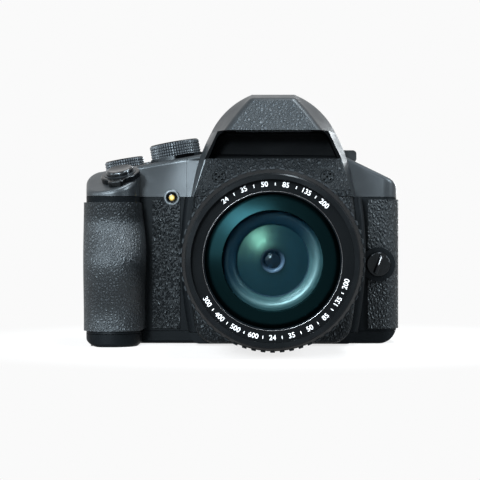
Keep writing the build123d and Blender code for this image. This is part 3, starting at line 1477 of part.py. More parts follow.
def hot_shoe():
    """Accessory shoe: a channel with two lips, and five contacts in its floor."""
    outer = SHOE_PLATE + SHOE_SLOT_HEIGHT + SHOE_LIP
    shoe = block((-SHOE_WIDTH / 2, SHOE_WIDTH / 2), (0, SHOE_LENGTH), (0, outer))
    shoe -= block(
        (-SHOE_SLOT_WIDTH / 2, SHOE_SLOT_WIDTH / 2),
        (SHOE_PLATE, SHOE_LENGTH + OVERRUN),
        (SHOE_PLATE, SHOE_PLATE + SHOE_SLOT_HEIGHT),
    )
    shoe -= block(
        (-SHOE_MOUTH_WIDTH / 2, SHOE_MOUTH_WIDTH / 2),
        (-OVERRUN, SHOE_LENGTH + OVERRUN),
        (SHOE_PLATE, outer + OVERRUN),
    )
    middle = SHOE_LENGTH / 2
    places = [(0, 0)] + [(side * share, row) for side in (-1, 1) for share, row in ((1, -1), (1, 1))]
    for x, y in places:
        place = Pos(x * SHOE_CONTACT_PITCH, middle + y * SHOE_CONTACT_PITCH, SHOE_PLATE)
        shoe -= place * Cylinder(SHOE_CONTACT_RADIUS, 2 * SHOE_CONTACT_SINK)
    return Pos(0, SHOE_FRONT_Y, SHOE_FLOOR_Z) * shoe


def eyecup():
    """Rubber cup round the eyepiece, flared toward the eye."""
    root = slab_face(-FINDER_HALF_WIDTH, FINDER_HALF_WIDTH, FINDER_BASE_Z, FINDER_TOP_Z, FINDER_RADIUS)
    rim = slab_face(
        -FINDER_HALF_WIDTH - EYECUP_FLARE,
        FINDER_HALF_WIDTH + EYECUP_FLARE,
        FINDER_BASE_Z - EYECUP_FLARE,
        FINDER_TOP_Z + EYECUP_FLARE,
        FINDER_RADIUS + EYECUP_FLARE,
    )
    places = [Pos(0, FINDER_REAR_Y, 0), Pos(0, EYECUP_REAR_Y, 0)]
    cup = loft([places[0] * (Plane.XZ * root), places[1] * (Plane.XZ * rim)])
    cup = fillet(cup.faces().sort_by(Axis.Y)[-1].edges(), EYECUP_FLARE)
    opening = slab_face(
        -EYECUP_HALF_OPENING,
        EYECUP_HALF_OPENING,
        FINDER_Z - EYECUP_OPENING_HEIGHT / 2,
        FINDER_Z + EYECUP_OPENING_HEIGHT / 2,
        EYECUP_OPENING_RADIUS,
    )
    return cup - front_prism(opening, SHELL_REAR_Y, EYECUP_REAR_Y + OVERRUN)


def eyepiece_lens():
    """Curved eyepiece at the mouth of the finder bore."""
    rear = FINDER_REAR_Y - EYEPIECE_INSET
    return rod_y(FINDER_BORE, rear - EYEPIECE_THICKNESS, rear, 0, FINDER_Z)


def evf_module():
    """Viewfinder display and its optics, a stepped tube in the finder bore."""
    body = rod_y(FINDER_BORE, FINDER_FRONT_Y, FINDER_FRONT_Y + FINDER_MODULE_LENGTH, 0, FINDER_Z)
    bore = rod_y(
        FINDER_BORE - WALL,
        FINDER_FRONT_Y + WALL,
        FINDER_REAR_Y,
        0,
        FINDER_Z,
    )
    return body - bore


def diopter_dial():
    """Eyesight dial on the side of the finder, with a notched rim and a stem."""
    disc = Cylinder(DIOPTER_RADIUS, DIOPTER_THICKNESS)
    notch = Pos(DIOPTER_RADIUS, 0, 0) * Cylinder(DIOPTER_NOTCH_RADIUS, 2 * DIOPTER_THICKNESS)
    disc -= ringed(notch, DIOPTER_NOTCH_COUNT)
    middle_x = -FINDER_HALF_WIDTH - RUNNING_FIT - DIOPTER_THICKNESS / 2
    wheel = Pos(middle_x, diopter_y(), FINDER_Z) * Rot(0, 90, 0) * disc
    return wheel + rod_x(
        DIOPTER_STEM_RADIUS,
        middle_x,
        -FINDER_HALF_WIDTH + DIOPTER_STEM_LENGTH,
        diopter_y(),
        FINDER_Z,
    )


def lens_mount_ring():
    """Mount ring with a spigot in the panel and a web that seats the fixed barrel and the guide tube."""
    return turned(
        (GUIDE_RADIUS, FRAME_FRONT_Y),
        (MOUNT_SPIGOT_RADIUS, FRAME_FRONT_Y),
        (MOUNT_SPIGOT_RADIUS, PANEL_FRONT_Y),
        (MOUNT_RING_RADIUS, PANEL_FRONT_Y),
        (MOUNT_RING_RADIUS, MOUNT_RING_FRONT_Y + SOFT_EDGE),
        (MOUNT_RING_RADIUS - SOFT_EDGE, MOUNT_RING_FRONT_Y),
        (FIXED_RADIUS, MOUNT_RING_FRONT_Y),
        (FIXED_RADIUS, FIXED_REAR_Y),
        (GUIDE_RADIUS, FIXED_REAR_Y),
    )


def fixed_barrel():
    """Fixed outer barrel with the collar between the focus ring and the zoom ring."""
    return turned(
        (FIXED_BORE, FIXED_REAR_Y),
        (FIXED_RADIUS, FIXED_REAR_Y),
        (FIXED_RADIUS, COLLAR_REAR_Y),
        (COLLAR_RADIUS - SOFT_EDGE, COLLAR_REAR_Y),
        (COLLAR_RADIUS, COLLAR_REAR_Y - SOFT_EDGE),
        (COLLAR_RADIUS, COLLAR_FRONT_Y + SOFT_EDGE),
        (COLLAR_RADIUS - SOFT_EDGE, COLLAR_FRONT_Y),
        (FIXED_RADIUS, COLLAR_FRONT_Y),
        (FIXED_RADIUS, ZOOM_FRONT_Y + ZOOM_BEVEL),
        (FIXED_BORE, ZOOM_FRONT_Y + ZOOM_BEVEL),
    )


def ribs(count, radius, height, width, y_front, y_rear):
    """Ribs along the lens axis, standing on a round band."""
    rib = block(
        (radius - height, radius + height),
        (y_front, y_rear),
        (-width / 2, width / 2),
    )
    rib = fillet(rib.faces().sort_by(Axis.X)[-1].edges(), height / 2)
    axis = Pos(0, 0, LENS_Z)
    return [axis * Rot(0, 360 * step / count, 0) * rib for step in range(count)]


def focus_ring():
    """Narrow ribbed focus ring behind the collar."""
    ring = lens_tube(FOCUS_RADIUS, RING_BORE, FOCUS_FRONT_Y, FOCUS_REAR_Y)
    return ring + ribs(
        FOCUS_RIB_COUNT,
        FOCUS_RADIUS,
        FOCUS_RIB_HEIGHT,
        FOCUS_RIB_WIDTH,
        FOCUS_FRONT_Y + SOFT_EDGE,
        FOCUS_REAR_Y - SOFT_EDGE,
    )


def zoom_ring():
    """Zoom ring's core: a bevelled front lip, a rear lip, and the land under the rubber."""
    return turned(
        (RING_BORE, ZOOM_REAR_Y),
        (ZOOM_RADIUS - SOFT_EDGE, ZOOM_REAR_Y),
        (ZOOM_RADIUS, ZOOM_REAR_Y - SOFT_EDGE),
        (ZOOM_RADIUS, ZOOM_REAR_Y - ZOOM_BAND_INSET),
        (ZOOM_CORE_RADIUS, ZOOM_REAR_Y - ZOOM_BAND_INSET),
        (ZOOM_CORE_RADIUS, ZOOM_FRONT_Y + ZOOM_BAND_INSET),
        (ZOOM_RADIUS, ZOOM_FRONT_Y + ZOOM_BAND_INSET),
        (ZOOM_RADIUS - ZOOM_BEVEL, ZOOM_FRONT_Y),
        (RING_BORE, ZOOM_FRONT_Y),
    )


def zoom_rubber():
    """Ribbed rubber band on the zoom ring."""
    front, rear = ZOOM_FRONT_Y + ZOOM_BAND_INSET, ZOOM_REAR_Y - ZOOM_BAND_INSET
    band = lens_tube(ZOOM_RADIUS, ZOOM_CORE_RADIUS, front, rear)
    return band + ribs(ZOOM_RIB_COUNT, ZOOM_RADIUS, ZOOM_RIB_HEIGHT, ZOOM_RIB_WIDTH, front, rear)


def middle_barrel():
    """First telescoping barrel, sliding in the fixed barrel."""
    return lens_tube(MIDDLE_RADIUS, MIDDLE_BORE, ZOOM_FRONT_Y, ZOOM_FRONT_Y + MIDDLE_LENGTH)


def front_barrel():
    """Second telescoping barrel with the lens head: seat for the glass cell and the filter thread."""
    tube_rear_y = HEAD_BACK_Y + FRONT_TUBE_LENGTH
    return turned(
        (FRONT_TUBE_BORE, tube_rear_y),
        (FRONT_TUBE_RADIUS, tube_rear_y),
        (FRONT_TUBE_RADIUS, HEAD_BACK_Y),
        (HEAD_RADIUS, HEAD_BACK_Y),
        (HEAD_RADIUS, LENS_FRONT_Y + SOFT_EDGE),
        (HEAD_RADIUS - SOFT_EDGE, LENS_FRONT_Y),
        (FILTER_RADIUS, LENS_FRONT_Y),
        (FILTER_RADIUS, FILTER_REAR_Y),
        (FRONT_TUBE_BORE, FILTER_REAR_Y),
    )


def name_ring():
    """Flat ring round the front glass, where the focal lengths are printed."""
    return lens_tube(FILTER_RADIUS, NAME_RING_BORE, FILTER_REAR_Y - NAME_RING_THICKNESS, FILTER_REAR_Y)


def front_cell():
    """Cell that holds the front and second elements, with a stepped baffle between them."""
    return turned(
        (GLASS_RADIUS, FILTER_REAR_Y),
        (FRONT_TUBE_BORE, FILTER_REAR_Y),
        (FRONT_TUBE_BORE, SECOND_REAR_Y),
        (SECOND_RADIUS - CELL_LIP, SECOND_REAR_Y),
        (SECOND_RADIUS - CELL_LIP, SECOND_REAR_Y - CELL_LIP / 2),
        (SECOND_RADIUS, SECOND_REAR_Y - CELL_LIP / 2),
        (SECOND_RADIUS, SECOND_APEX_Y),
        (GLASS_RADIUS - CELL_LIP, GLASS_REAR_Y),
        (GLASS_RADIUS, GLASS_REAR_Y),
    )


def front_element():
    """Large curved front glass."""
    return glass(GLASS_RADIUS, GLASS_APEX_Y, GLASS_REAR_Y, GLASS_FRONT_CURVE, GLASS_REAR_CURVE)


def second_element():
    """Smaller curved glass behind the front element."""
    rear = SECOND_REAR_Y - CELL_LIP / 2
    return glass(SECOND_RADIUS, SECOND_APEX_Y, rear, SECOND_FRONT_CURVE, SECOND_REAR_CURVE)


def guide_tube():
    """Inner tube that the front barrel slides on and the zoom group slides in, with a rear flange."""
    flange_front_y = SHELL_FRONT_Y + WALL
    return turned(
        (GUIDE_BORE, GUIDE_FRONT_Y),
        (GUIDE_RADIUS, GUIDE_FRONT_Y),
        (GUIDE_RADIUS, flange_front_y),
        (GUIDE_FLANGE_RADIUS, flange_front_y),
        (GUIDE_FLANGE_RADIUS, GUIDE_REAR_Y),
        (GUIDE_BORE, GUIDE_REAR_Y),
    )


def cell_with_web(outer_radius, glass_radius, y_front, length):
    """Round cell: a rim in the guide tube, a thin web, and a hub round its glass."""
    y_rear = y_front + length
    middle_y = (y_front + y_rear) / 2
    rim = lens_tube(outer_radius, outer_radius - VARIATOR_RIM, y_front, y_rear)
    web = lens_tube(outer_radius, glass_radius, middle_y - VARIATOR_WEB / 2, middle_y + VARIATOR_WEB / 2)
    hub = lens_tube(glass_radius + INNER_HUB, glass_radius, y_front + INNER_HUB, y_rear - INNER_HUB)
    return rim + web + hub


def variator_carrier():
    """Carrier of the zoom group, sliding in the guide tube."""
    return cell_with_web(CARRIER_RADIUS, VARIATOR_RADIUS, VARIATOR_FRONT_Y, VARIATOR_LENGTH)


def variator_lens():
    """Zoom group's glass."""
    rear = VARIATOR_FRONT_Y + VARIATOR_LENGTH
    return glass(VARIATOR_RADIUS, VARIATOR_FRONT_Y, rear, VARIATOR_CURVE, VARIATOR_CURVE)


def iris_unit():
    """Iris: a rim in the guide tube and a thin plate with the stop."""
    rim = lens_tube(GUIDE_BORE, GUIDE_BORE - VARIATOR_RIM, STOP_Y, STOP_Y + STOP_LENGTH)
    return rim + lens_tube(GUIDE_BORE, STOP_RADIUS, STOP_Y, STOP_Y + STOP_PLATE)


def rear_lens_group():
    """Rear cell and its glass, fixed in the guide tube."""
    cell = cell_with_web(GUIDE_BORE, REAR_GLASS_RADIUS, REAR_GROUP_Y, REAR_GROUP_LENGTH)
    rear = REAR_GROUP_Y + REAR_GROUP_LENGTH
    element = glass(REAR_GLASS_RADIUS, REAR_GROUP_Y, rear, REAR_GLASS_CURVE, REAR_GLASS_CURVE)
    return Compound(children=[cell, element])


def dial_groove(radius, z):
    """V-shaped groove round a dial's rim."""
    inner, outer = radius - DIAL_ROW_DEPTH, radius + DIAL_ROW_DEPTH
    face = outline((inner, z), (outer, z - 2 * DIAL_ROW_DEPTH), (outer, z + 2 * DIAL_ROW_DEPTH))
    return revolve(Plane.XZ * face, Axis.Z)


def dial(radius, height, notch_count):
    """Dial on its own frame: a cross-cut knurled rim, a dished top and a stem below."""
    disc = Pos(0, 0, height / 2) * Cylinder(radius, height)
    rims = disc.edges().filter_by(GeomType.CIRCLE).sort_by(Axis.Z)
    disc = chamfer(rims[-1], DIAL_EDGE)
    notch = Pos(radius, 0, height / 2) * Rot(0, 0, 45) * Box(DIAL_NOTCH_WIDTH, DIAL_NOTCH_WIDTH, 2 * height)
    disc -= ringed(notch, notch_count)
    rows = int((height - DIAL_EDGE) / DIAL_ROW_PITCH)
    disc -= [dial_groove(radius, DIAL_ROW_PITCH * (row + 0.5)) for row in range(rows)]
    disc -= Pos(0, 0, height) * Cylinder(radius - DIAL_RIM, 2 * DIAL_DISH_DEPTH)
    return disc + Pos(0, 0, -DIAL_STEM_LENGTH / 2) * Cylinder(DIAL_STEM_RADIUS, DIAL_STEM_LENGTH)


def mode_dial():
    """Exposure mode dial on its boss."""
    place = deck() * Pos(MODE_DIAL_X, MODE_DIAL_Y, MODE_BOSS_HEIGHT)
    return place * dial(MODE_DIAL_RADIUS, MODE_DIAL_HEIGHT, MODE_NOTCH_COUNT)


def command_dial():
    """Command dial at the deck's rear corner."""
    return deck() * Pos(0, COMMAND_DIAL_Y, 0) * dial(
        COMMAND_DIAL_RADIUS, COMMAND_DIAL_HEIGHT, COMMAND_NOTCH_COUNT
    )


def shutter_button():
    """Shutter release with a dished top and a softened rim."""
    length = SHUTTER_HEIGHT + SHUTTER_SINK
    key = Pos(0, 0, SHUTTER_HEIGHT - length / 2) * Cylinder(SHUTTER_RADIUS, length)
    key = fillet(key.edges().filter_by(GeomType.CIRCLE).sort_by(Axis.Z)[-1], 2 * SOFT_EDGE)
    key -= Pos(0, 0, SHUTTER_HEIGHT - SHUTTER_DISH_DEPTH + SHUTTER_DISH_CURVE) * Sphere(SHUTTER_DISH_CURVE)
    return shutter_place() * key


def power_lever():
    """Ring lever round the shutter collar, with a rounded tab at its front."""
    middle = LEVER_HEIGHT / 2
    ring = Pos(0, 0, middle) * Cylinder(LEVER_RADIUS, LEVER_HEIGHT)
    tab = Pos(0, -LEVER_TAB_REACH / 2, middle) * Box(LEVER_TAB_WIDTH, LEVER_TAB_REACH, LEVER_HEIGHT)
    tab = fillet(tab.edges().filter_by(Axis.Z), LEVER_TAB_WIDTH / 3)
    lever = ring + Rot(0, 0, -LEVER_TAB_TURN) * tab
    lever = fillet(lever.faces().sort_by(Axis.Z)[-1].outer_wire().edges(), SOFT_EDGE)
    lever -= Pos(0, 0, middle) * Cylinder(LEVER_BORE, 2 * LEVER_HEIGHT)
    return shutter_place() * Pos(0, 0, RUNNING_FIT) * lever


def deck_button(y):
    """Small round button in the deck."""
    length = DECK_BUTTON_RISE + DECK_BUTTON_SINK
    key = Pos(0, 0, DECK_BUTTON_RISE - length / 2) * Cylinder(DECK_BUTTON_RADIUS, length)
    key = fillet(key.edges().filter_by(GeomType.CIRCLE).sort_by(Axis.Z)[-1], SOFT_EDGE)
    return deck() * Pos(DECK_BUTTON_X, y, 0) * key


def fn_button_1():
    """Front deck button."""
    return deck_button(deck_button_rows()[0])


def fn_button_2():
    """Rear deck button."""
    return deck_button(deck_button_rows()[1])


def focus_selector():
    """Turning focus selector with a raised grip bar."""
    face_y = SHELL_FRONT_Y - SKIN
    disc = rod_y(SELECTOR_RADIUS, face_y - SELECTOR_HEIGHT, face_y, SELECTOR_X, SELECTOR_Z)
    disc = fillet(disc.faces().sort_by(Axis.Y)[0].edges(), SOFT_EDGE)
    bar = Box(SELECTOR_BAR_WIDTH, SELECTOR_BAR_HEIGHT + SOFT_EDGE, 2 * (SELECTOR_RADIUS - SOFT_EDGE))
    bar = fillet(bar.edges().filter_by(Axis.Y), SELECTOR_BAR_WIDTH / 3)
    middle_y = face_y - SELECTOR_HEIGHT - SELECTOR_BAR_HEIGHT / 2 + SOFT_EDGE / 2
    return disc + Pos(SELECTOR_X, middle_y, SELECTOR_Z) * bar


def af_lamp_lens():
    """Lamp: a bezel with a coned mouth, and a small domed window in it."""
    front, rear = SHELL_FRONT_Y - LAMP_PROUD, SHELL_FRONT_Y + LAMP_BEZEL_DEPTH
    bezel = rod_y(LAMP_BEZEL_RADIUS, front, rear, LAMP_X, LAMP_Z)
    bezel = fillet(bezel.faces().sort_by(Axis.Y)[0].edges(), SOFT_EDGE)
    mouth = Pos(LAMP_X, front + LAMP_CONE / 2, LAMP_Z) * Rot(90, 0, 0) * Cone(
        LAMP_RADIUS, LAMP_RADIUS + LAMP_CONE, LAMP_CONE
    )
    bezel -= mouth
    bezel -= rod_y(LAMP_RADIUS, front, rear, LAMP_X, LAMP_Z)
    window = rod_y(LAMP_RADIUS, front + LAMP_CONE / 2, rear, LAMP_X, LAMP_Z)
    window = fillet(window.faces().sort_by(Axis.Y)[0].edges(), SOFT_EDGE)
    return Compound(children=[bezel, window])


def screen_blank(y_front, y_rear, inset):
    """Rounded plate of the screen's outline, drawn in by an inset."""
    face = slab_face(
        SCREEN_LEFT_X + inset,
        SCREEN_RIGHT_X - inset,
        SCREEN_BASE_Z + inset,
        SCREEN_TOP_Z - inset,
        SCREEN_RADIUS,
    )
    return front_prism(face, y_front, y_rear)


def upper_ear_limits():
    """X limits of the two ears that the screen hangs from."""
    left = SCREEN_LEFT_X + EAR_INSET
    right = SCREEN_RIGHT_X - EAR_INSET
    return [(left, left + EAR_WIDTH), (right - EAR_WIDTH, right)]


def lcd_frame():
    """Screen housing with its glass seat, its ear slots and its hinge bores."""
    frame = screen_blank(SCREEN_FRONT_Y, SCREEN_REAR_Y, 0)
    rims = frame.edges().filter_by(Axis.X).group_by(Axis.Z)[-1]
    frame = fillet(rims, SCREEN_EDGE)
    frame -= screen_blank(SCREEN_REAR_Y - SCREEN_GLASS, SCREEN_REAR_Y + OVERRUN, SCREEN_BORDER)
    for low, high in upper_ear_limits():
        frame -= block(
            (low - FIT, high + FIT),
            (SHELL_FRONT_Y, SCREEN_REAR_Y + OVERRUN),
            (UPPER_AXIS_Z - HINGE_RADIUS - FIT, SCREEN_TOP_Z + OVERRUN),
        )
        frame -= upper_pin(low, high, RUNNING_FIT)
    return frame


def upper_pin(low, high, growth):
    """Pin through one upper ear, or the bore that turns on it."""
    reach = HINGE_PIN_REACH + FIT + growth
    return rod_x(HINGE_PIN_RADIUS + growth, low - reach, high + reach, UPPER_AXIS_Y, UPPER_AXIS_Z)


def lcd_glass():
    """Glass of the screen."""
    return screen_blank(SCREEN_REAR_Y - SCREEN_GLASS, SCREEN_REAR_Y, SCREEN_BORDER)


def lcd_bracket():
    """Folded bracket: a plate behind the screen, a barrel at its foot and two ears at its head."""
    plate = screen_blank(BRACKET_FRONT_Y, BRACKET_REAR_Y, BRACKET_INSET)
    plate += block(
        (BARREL_LEFT_X, BARREL_RIGHT_X),
        (BRACKET_FRONT_Y, BRACKET_REAR_Y),
        (LOWER_AXIS_Z - HINGE_RADIUS, SCREEN_BASE_Z + 2 * BRACKET_INSET),
    )
    plate += block(
        (BARREL_LEFT_X, BARREL_RIGHT_X),
        (BRACKET_FRONT_Y, LOWER_AXIS_Y),
        (LOWER_AXIS_Z - HINGE_RADIUS, LOWER_AXIS_Z + HINGE_RADIUS),
    )
    plate += rod_x(HINGE_RADIUS, BARREL_LEFT_X, BARREL_RIGHT_X, LOWER_AXIS_Y, LOWER_AXIS_Z)
    plate += rod_x(
        HINGE_PIN_RADIUS,
        BARREL_LEFT_X - HINGE_PIN_REACH,
        BARREL_RIGHT_X + HINGE_PIN_REACH,
        LOWER_AXIS_Y,
        LOWER_AXIS_Z,
    )
    for low, high in upper_ear_limits():
        plate += block(
            (low, high),
            (BRACKET_FRONT_Y, UPPER_AXIS_Y),
            (UPPER_AXIS_Z - HINGE_RADIUS, UPPER_AXIS_Z + HINGE_RADIUS),
        )
        plate += rod_x(HINGE_RADIUS, low, high, UPPER_AXIS_Y, UPPER_AXIS_Z)
        plate += upper_pin(low, high, 0)
    return plate


def battery():
    """Battery pack in the grip."""
    z_low = battery_base_z()
    pack = block(
        (BATTERY_LEFT_X, BATTERY_RIGHT_X),
        (BATTERY_FRONT_Y, BATTERY_REAR_Y),
        (z_low, z_low + BATTERY_HEIGHT),
    )
    return fillet(pack.edges().filter_by(Axis.Z), SOFT_EDGE * 2)


def chassis():
    """Sheet frame on four pillars, with a window behind the sensor."""
    plate = block(
        (CHASSIS_LEFT_X, CHASSIS_RIGHT_X),
        (CHASSIS_Y, CHASSIS_Y + CHASSIS_THICKNESS),
        (CHASSIS_BASE_Z, CHASSIS_TOP_Z),
    )
    window = slab_face(
        -CHASSIS_WINDOW_WIDTH / 2,
        CHASSIS_WINDOW_WIDTH / 2,
        LENS_Z - CHASSIS_WINDOW_HEIGHT / 2,
        LENS_Z + CHASSIS_WINDOW_HEIGHT / 2,
        SOFT_EDGE,
    )
    plate -= front_prism(window, SHELL_FRONT_Y, SHELL_REAR_Y)
    pillars = [
        rod_y(CHASSIS_PILLAR_RADIUS, SHELL_FRONT_Y + WALL, CHASSIS_Y, x, z)
        for x in (-CHASSIS_PILLAR_X, CHASSIS_PILLAR_X)
        for z in (CHASSIS_BASE_Z + CHASSIS_PILLAR_INSET, CHASSIS_TOP_Z - CHASSIS_PILLAR_INSET)
    ]
    return plate + pillars


def image_sensor():
    """Sensor package on the chassis, behind the rear lens group."""
    return block(
        (-SENSOR_WIDTH / 2, SENSOR_WIDTH / 2),
        (CHASSIS_Y - SENSOR_THICKNESS, CHASSIS_Y),
        (LENS_Z - SENSOR_HEIGHT / 2, LENS_Z + SENSOR_HEIGHT / 2),
    )


def main_board():
    """Main board on four posts, with a row of chips."""
    board = block(
        (BOARD_LEFT_X, BOARD_RIGHT_X),
        (BOARD_Y, BOARD_Y + BOARD_THICKNESS),
        (BOARD_BASE_Z, BOARD_TOP_Z),
    )
    chips = [
        Pos(step * CHIP_PITCH, BOARD_Y - CHIP_THICKNESS / 2, LENS_Z) * Box(CHIP_SIZE, CHIP_THICKNESS, CHIP_SIZE)
        for step in (-1, 0, 1)
    ]
    return board + chips


PIECES = {
    "front_cover": front_cover,
    "front_panel": front_panel,
    "rear_cover": rear_cover,
    "top_cover": top_cover,
    "bottom_cover": bottom_cover,
    "grip_rubber": grip_rubber,
    "body_leather": body_leather,
    "thumb_rest": thumb_rest,
    "hot_shoe": hot_shoe,
    "eyecup": eyecup,
    "eyepiece_lens": eyepiece_lens,
    "evf_module": evf_module,
    "af_lamp_lens": af_lamp_lens,
    "strap_lugs": strap_lugs,
    "tripod_socket": tripod_socket,
    "base_screws": base_screws,
    "chassis": chassis,
    "image_sensor": image_sensor,
    "main_board": main_board,
    "battery": battery,
    "lens_mount_ring": lens_mount_ring,
    "fixed_barrel": fixed_barrel,
    "guide_tube": guide_tube,
    "iris_unit": iris_unit,
    "rear_lens_group": rear_lens_group,
    "focus_ring": focus_ring,
    "zoom_ring": zoom_ring,
    "zoom_rubber": zoom_rubber,
    "middle_barrel": middle_barrel,
    "front_barrel": front_barrel,
    "name_ring": name_ring,
    "front_cell": front_cell,
    "front_element": front_element,
    "second_element": second_element,
    "variator_carrier": variator_carrier,
    "variator_lens": variator_lens,
    "shutter_button": shutter_button,
    "power_lever": power_lever,
    "mode_dial": mode_dial,
    "command_dial": command_dial,
    "fn_button_1": fn_button_1,
    "fn_button_2": fn_button_2,
    "flash_release_button": flash_release_button,
    "flash_head": flash_head,
    "flash_window": flash_window,
    "focus_selector": focus_selector,
    "diopter_dial": diopter_dial,
    "lcd_bracket": lcd_bracket,
    "lcd_frame": lcd_frame,
    "lcd_glass": lcd_glass,
    "battery_door": battery_door,
    "card_door": card_door,
    "terminal_door": terminal_door,
    "four_way_pad": four_way_pad,
    "ok_button": ok_button,
}

for node, make in PIECES.items():
    export_step(make(), f"parts/{node}.step")

for node in key_places():
    export_step(rear_key(node), f"parts/{node}.step")
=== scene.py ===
"""The looks of a bridge camera: materials, printed marks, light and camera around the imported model.

Lengths are metres in the model's own frame: the lens looks along -Y and +Z is up.
Angles are degrees, apart from the leather's slant, which is radians. Colours are linear, with three
parts. A level says how strongly a surface reflects at a right angle. A pair called rough holds the
two roughnesses between which a surface varies.
"""

import json
import math

import bmesh
import bpy
from mathutils import Matrix, Vector
from mathutils.bvhtree import BVHTree

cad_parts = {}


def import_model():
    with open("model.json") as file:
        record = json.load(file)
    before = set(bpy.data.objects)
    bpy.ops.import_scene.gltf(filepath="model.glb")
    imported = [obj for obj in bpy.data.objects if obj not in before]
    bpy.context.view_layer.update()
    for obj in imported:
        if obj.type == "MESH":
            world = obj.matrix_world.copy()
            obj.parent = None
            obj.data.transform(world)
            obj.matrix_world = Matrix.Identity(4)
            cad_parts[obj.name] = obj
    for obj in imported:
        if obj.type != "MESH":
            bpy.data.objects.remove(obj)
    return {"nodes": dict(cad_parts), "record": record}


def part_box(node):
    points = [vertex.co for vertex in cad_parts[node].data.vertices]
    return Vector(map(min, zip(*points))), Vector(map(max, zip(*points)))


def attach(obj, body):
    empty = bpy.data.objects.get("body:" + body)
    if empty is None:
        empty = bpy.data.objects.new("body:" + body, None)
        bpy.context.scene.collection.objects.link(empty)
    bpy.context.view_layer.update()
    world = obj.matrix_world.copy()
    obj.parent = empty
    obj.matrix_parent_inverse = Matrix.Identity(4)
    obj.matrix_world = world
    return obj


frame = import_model()
NODES = frame["nodes"]
JOINTS = {joint["name"]: joint for joint in frame["record"]["behaviour"]["joints"]}
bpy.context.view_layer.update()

MM = 0.001
LENS_X = 0.0
LENS_Z = 37.4 * MM

# A quarter turn in degrees, and the turn that takes +Z to -Y and +Y to +Z
QUARTER = 90.0
STAND = Matrix.Rotation(math.radians(QUARTER), 4, "X")

# The view: the photograph's frame is square, and its lens centre stands right of the picture's
# centre. The span is what the frame's width covers at the object, and the sensor is in millimetres
CAMERA_PLACE = Vector((2.0, -790.0, 52.4)) * MM
CAMERA_AIM = Vector((-14.5, 0.0, 44.3)) * MM
CAMERA_SPAN = 209.5 * MM
CAMERA_SENSOR = 36.0
CAMERA_NEAR = 10.0 * MM
CAMERA_FAR = 20.0

# Background, floor and world
BACKGROUND = (0.956, 0.956, 0.956)
FLOOR_COLOUR = (0.8, 0.8, 0.8)
FLOOR_ROUGHNESS = 0.9
FLOOR_HALF = 4.0
SHADOW_FROM = 0.04
SHADOW_REACH = 0.17
SHADOW_SHARE = 0.22
WORLD_COLOUR = (0.92, 0.96, 1.0)
WORLD_STRENGTH = 0.16

# Each lamp: name, shape, place, what it is aimed at, width, height, power in watts
LAMP_COLOUR = (0.90, 0.96, 1.00)
LAMPS = (
    ("key", "RECTANGLE", (-0.45, -0.55, 0.75), (0.0, -0.03, 0.06), 0.45, 0.30, 8.0),
    ("brow", "RECTANGLE", (-0.30, -1.05, 0.50), (0.0, -0.06, 0.06), 0.50, 0.22, 9.0),
    ("top", "RECTANGLE", (0.20, -0.08, 0.93), (0.0, -0.03, 0.06), 0.60, 0.14, 12.0),
    ("right_rim", "RECTANGLE", (0.80, -0.35, 0.42), (0.0, -0.02, 0.06), 0.16, 0.50, 13.0),
    ("left_side", "RECTANGLE", (-0.85, -0.25, 0.35), (-0.05, -0.02, 0.05), 0.25, 0.45, 3.0),
    ("left_front", "RECTANGLE", (-0.70, -1.00, 0.35), (0.0, -0.09, 0.04), 0.80, 0.60, 7.0),
    ("rear", "RECTANGLE", (0.35, 1.15, 0.22), (-0.02, 0.03, 0.05), 0.60, 0.30, 7.0),
    ("spark", "DISK", (-0.21, -1.15, 0.31), (0.0, -0.09, 0.037), 0.17, 0.17, 15.0),
)

# The tint of every reflection whose surface has none of its own
COOL_TINT = (0.80, 0.92, 1.00)

# The values of a noise at which the roughness that it drives reaches its two ends
WORN_SPREAD = (0.35, 0.65)
STREAK_SPREAD = (0.3, 0.7)
SMEAR_SPREAD = (0.35, 0.7)
WORN_PATCH = 14.0 * MM

# Moulded plastic, with the fine matte texture that a spark-eroded mould leaves
SHELL_COLOUR = (0.0030, 0.0038, 0.0045)
SHELL_ROUGH = (0.34, 0.44)
SHELL_LEVEL = 0.04
SHELL_PATCH = 30.0 * MM
SHELL_DARKER = 0.8
SPARK_GRAIN = 0.22 * MM
SPARK_DEPTH = 0.010 * MM
GLOSS_COLOUR = (0.0012, 0.0014, 0.0017)
GLOSS_ROUGH = (0.10, 0.20)
GLOSS_PATCH = 6.0 * MM
GLOSS_GRAIN = 0.6 * MM
GLOSS_DEPTH = 0.0015 * MM
LEVER_LEVEL = 0.22

# Embossed skin. Wander, dome and pore are sizes in pebbles: how far the pattern is bent, how far
# from its edge a pebble reaches its full height, and how large the pores are
GRAIN_COLOUR = (0.0060, 0.0075, 0.0088)
PANEL_COLOUR = (0.0078, 0.0098, 0.0115)
# Painted shade: the near-black colour of every skin between its pebbles
GRAIN_VALLEY_SHADE = (0.0004, 0.0005, 0.0006)
SKIN_LEVEL = 0.24
PANEL_LEVEL = 0.12
LEATHER_PEBBLE = 1.25 * MM
LEATHER_DEPTH = 0.42 * MM
LEATHER_ROUGH = (0.55, 0.26)
LEATHER_SLANT = (0.0, 0.62, 0.0)
LEATHER_STRETCH = (1.0, 1.0, 0.62)
LEATHER_WANDER = 1.7
LEATHER_DOME = 0.42
LEATHER_PORE = 0.28
LEATHER_PORE_SHARE = 0.15

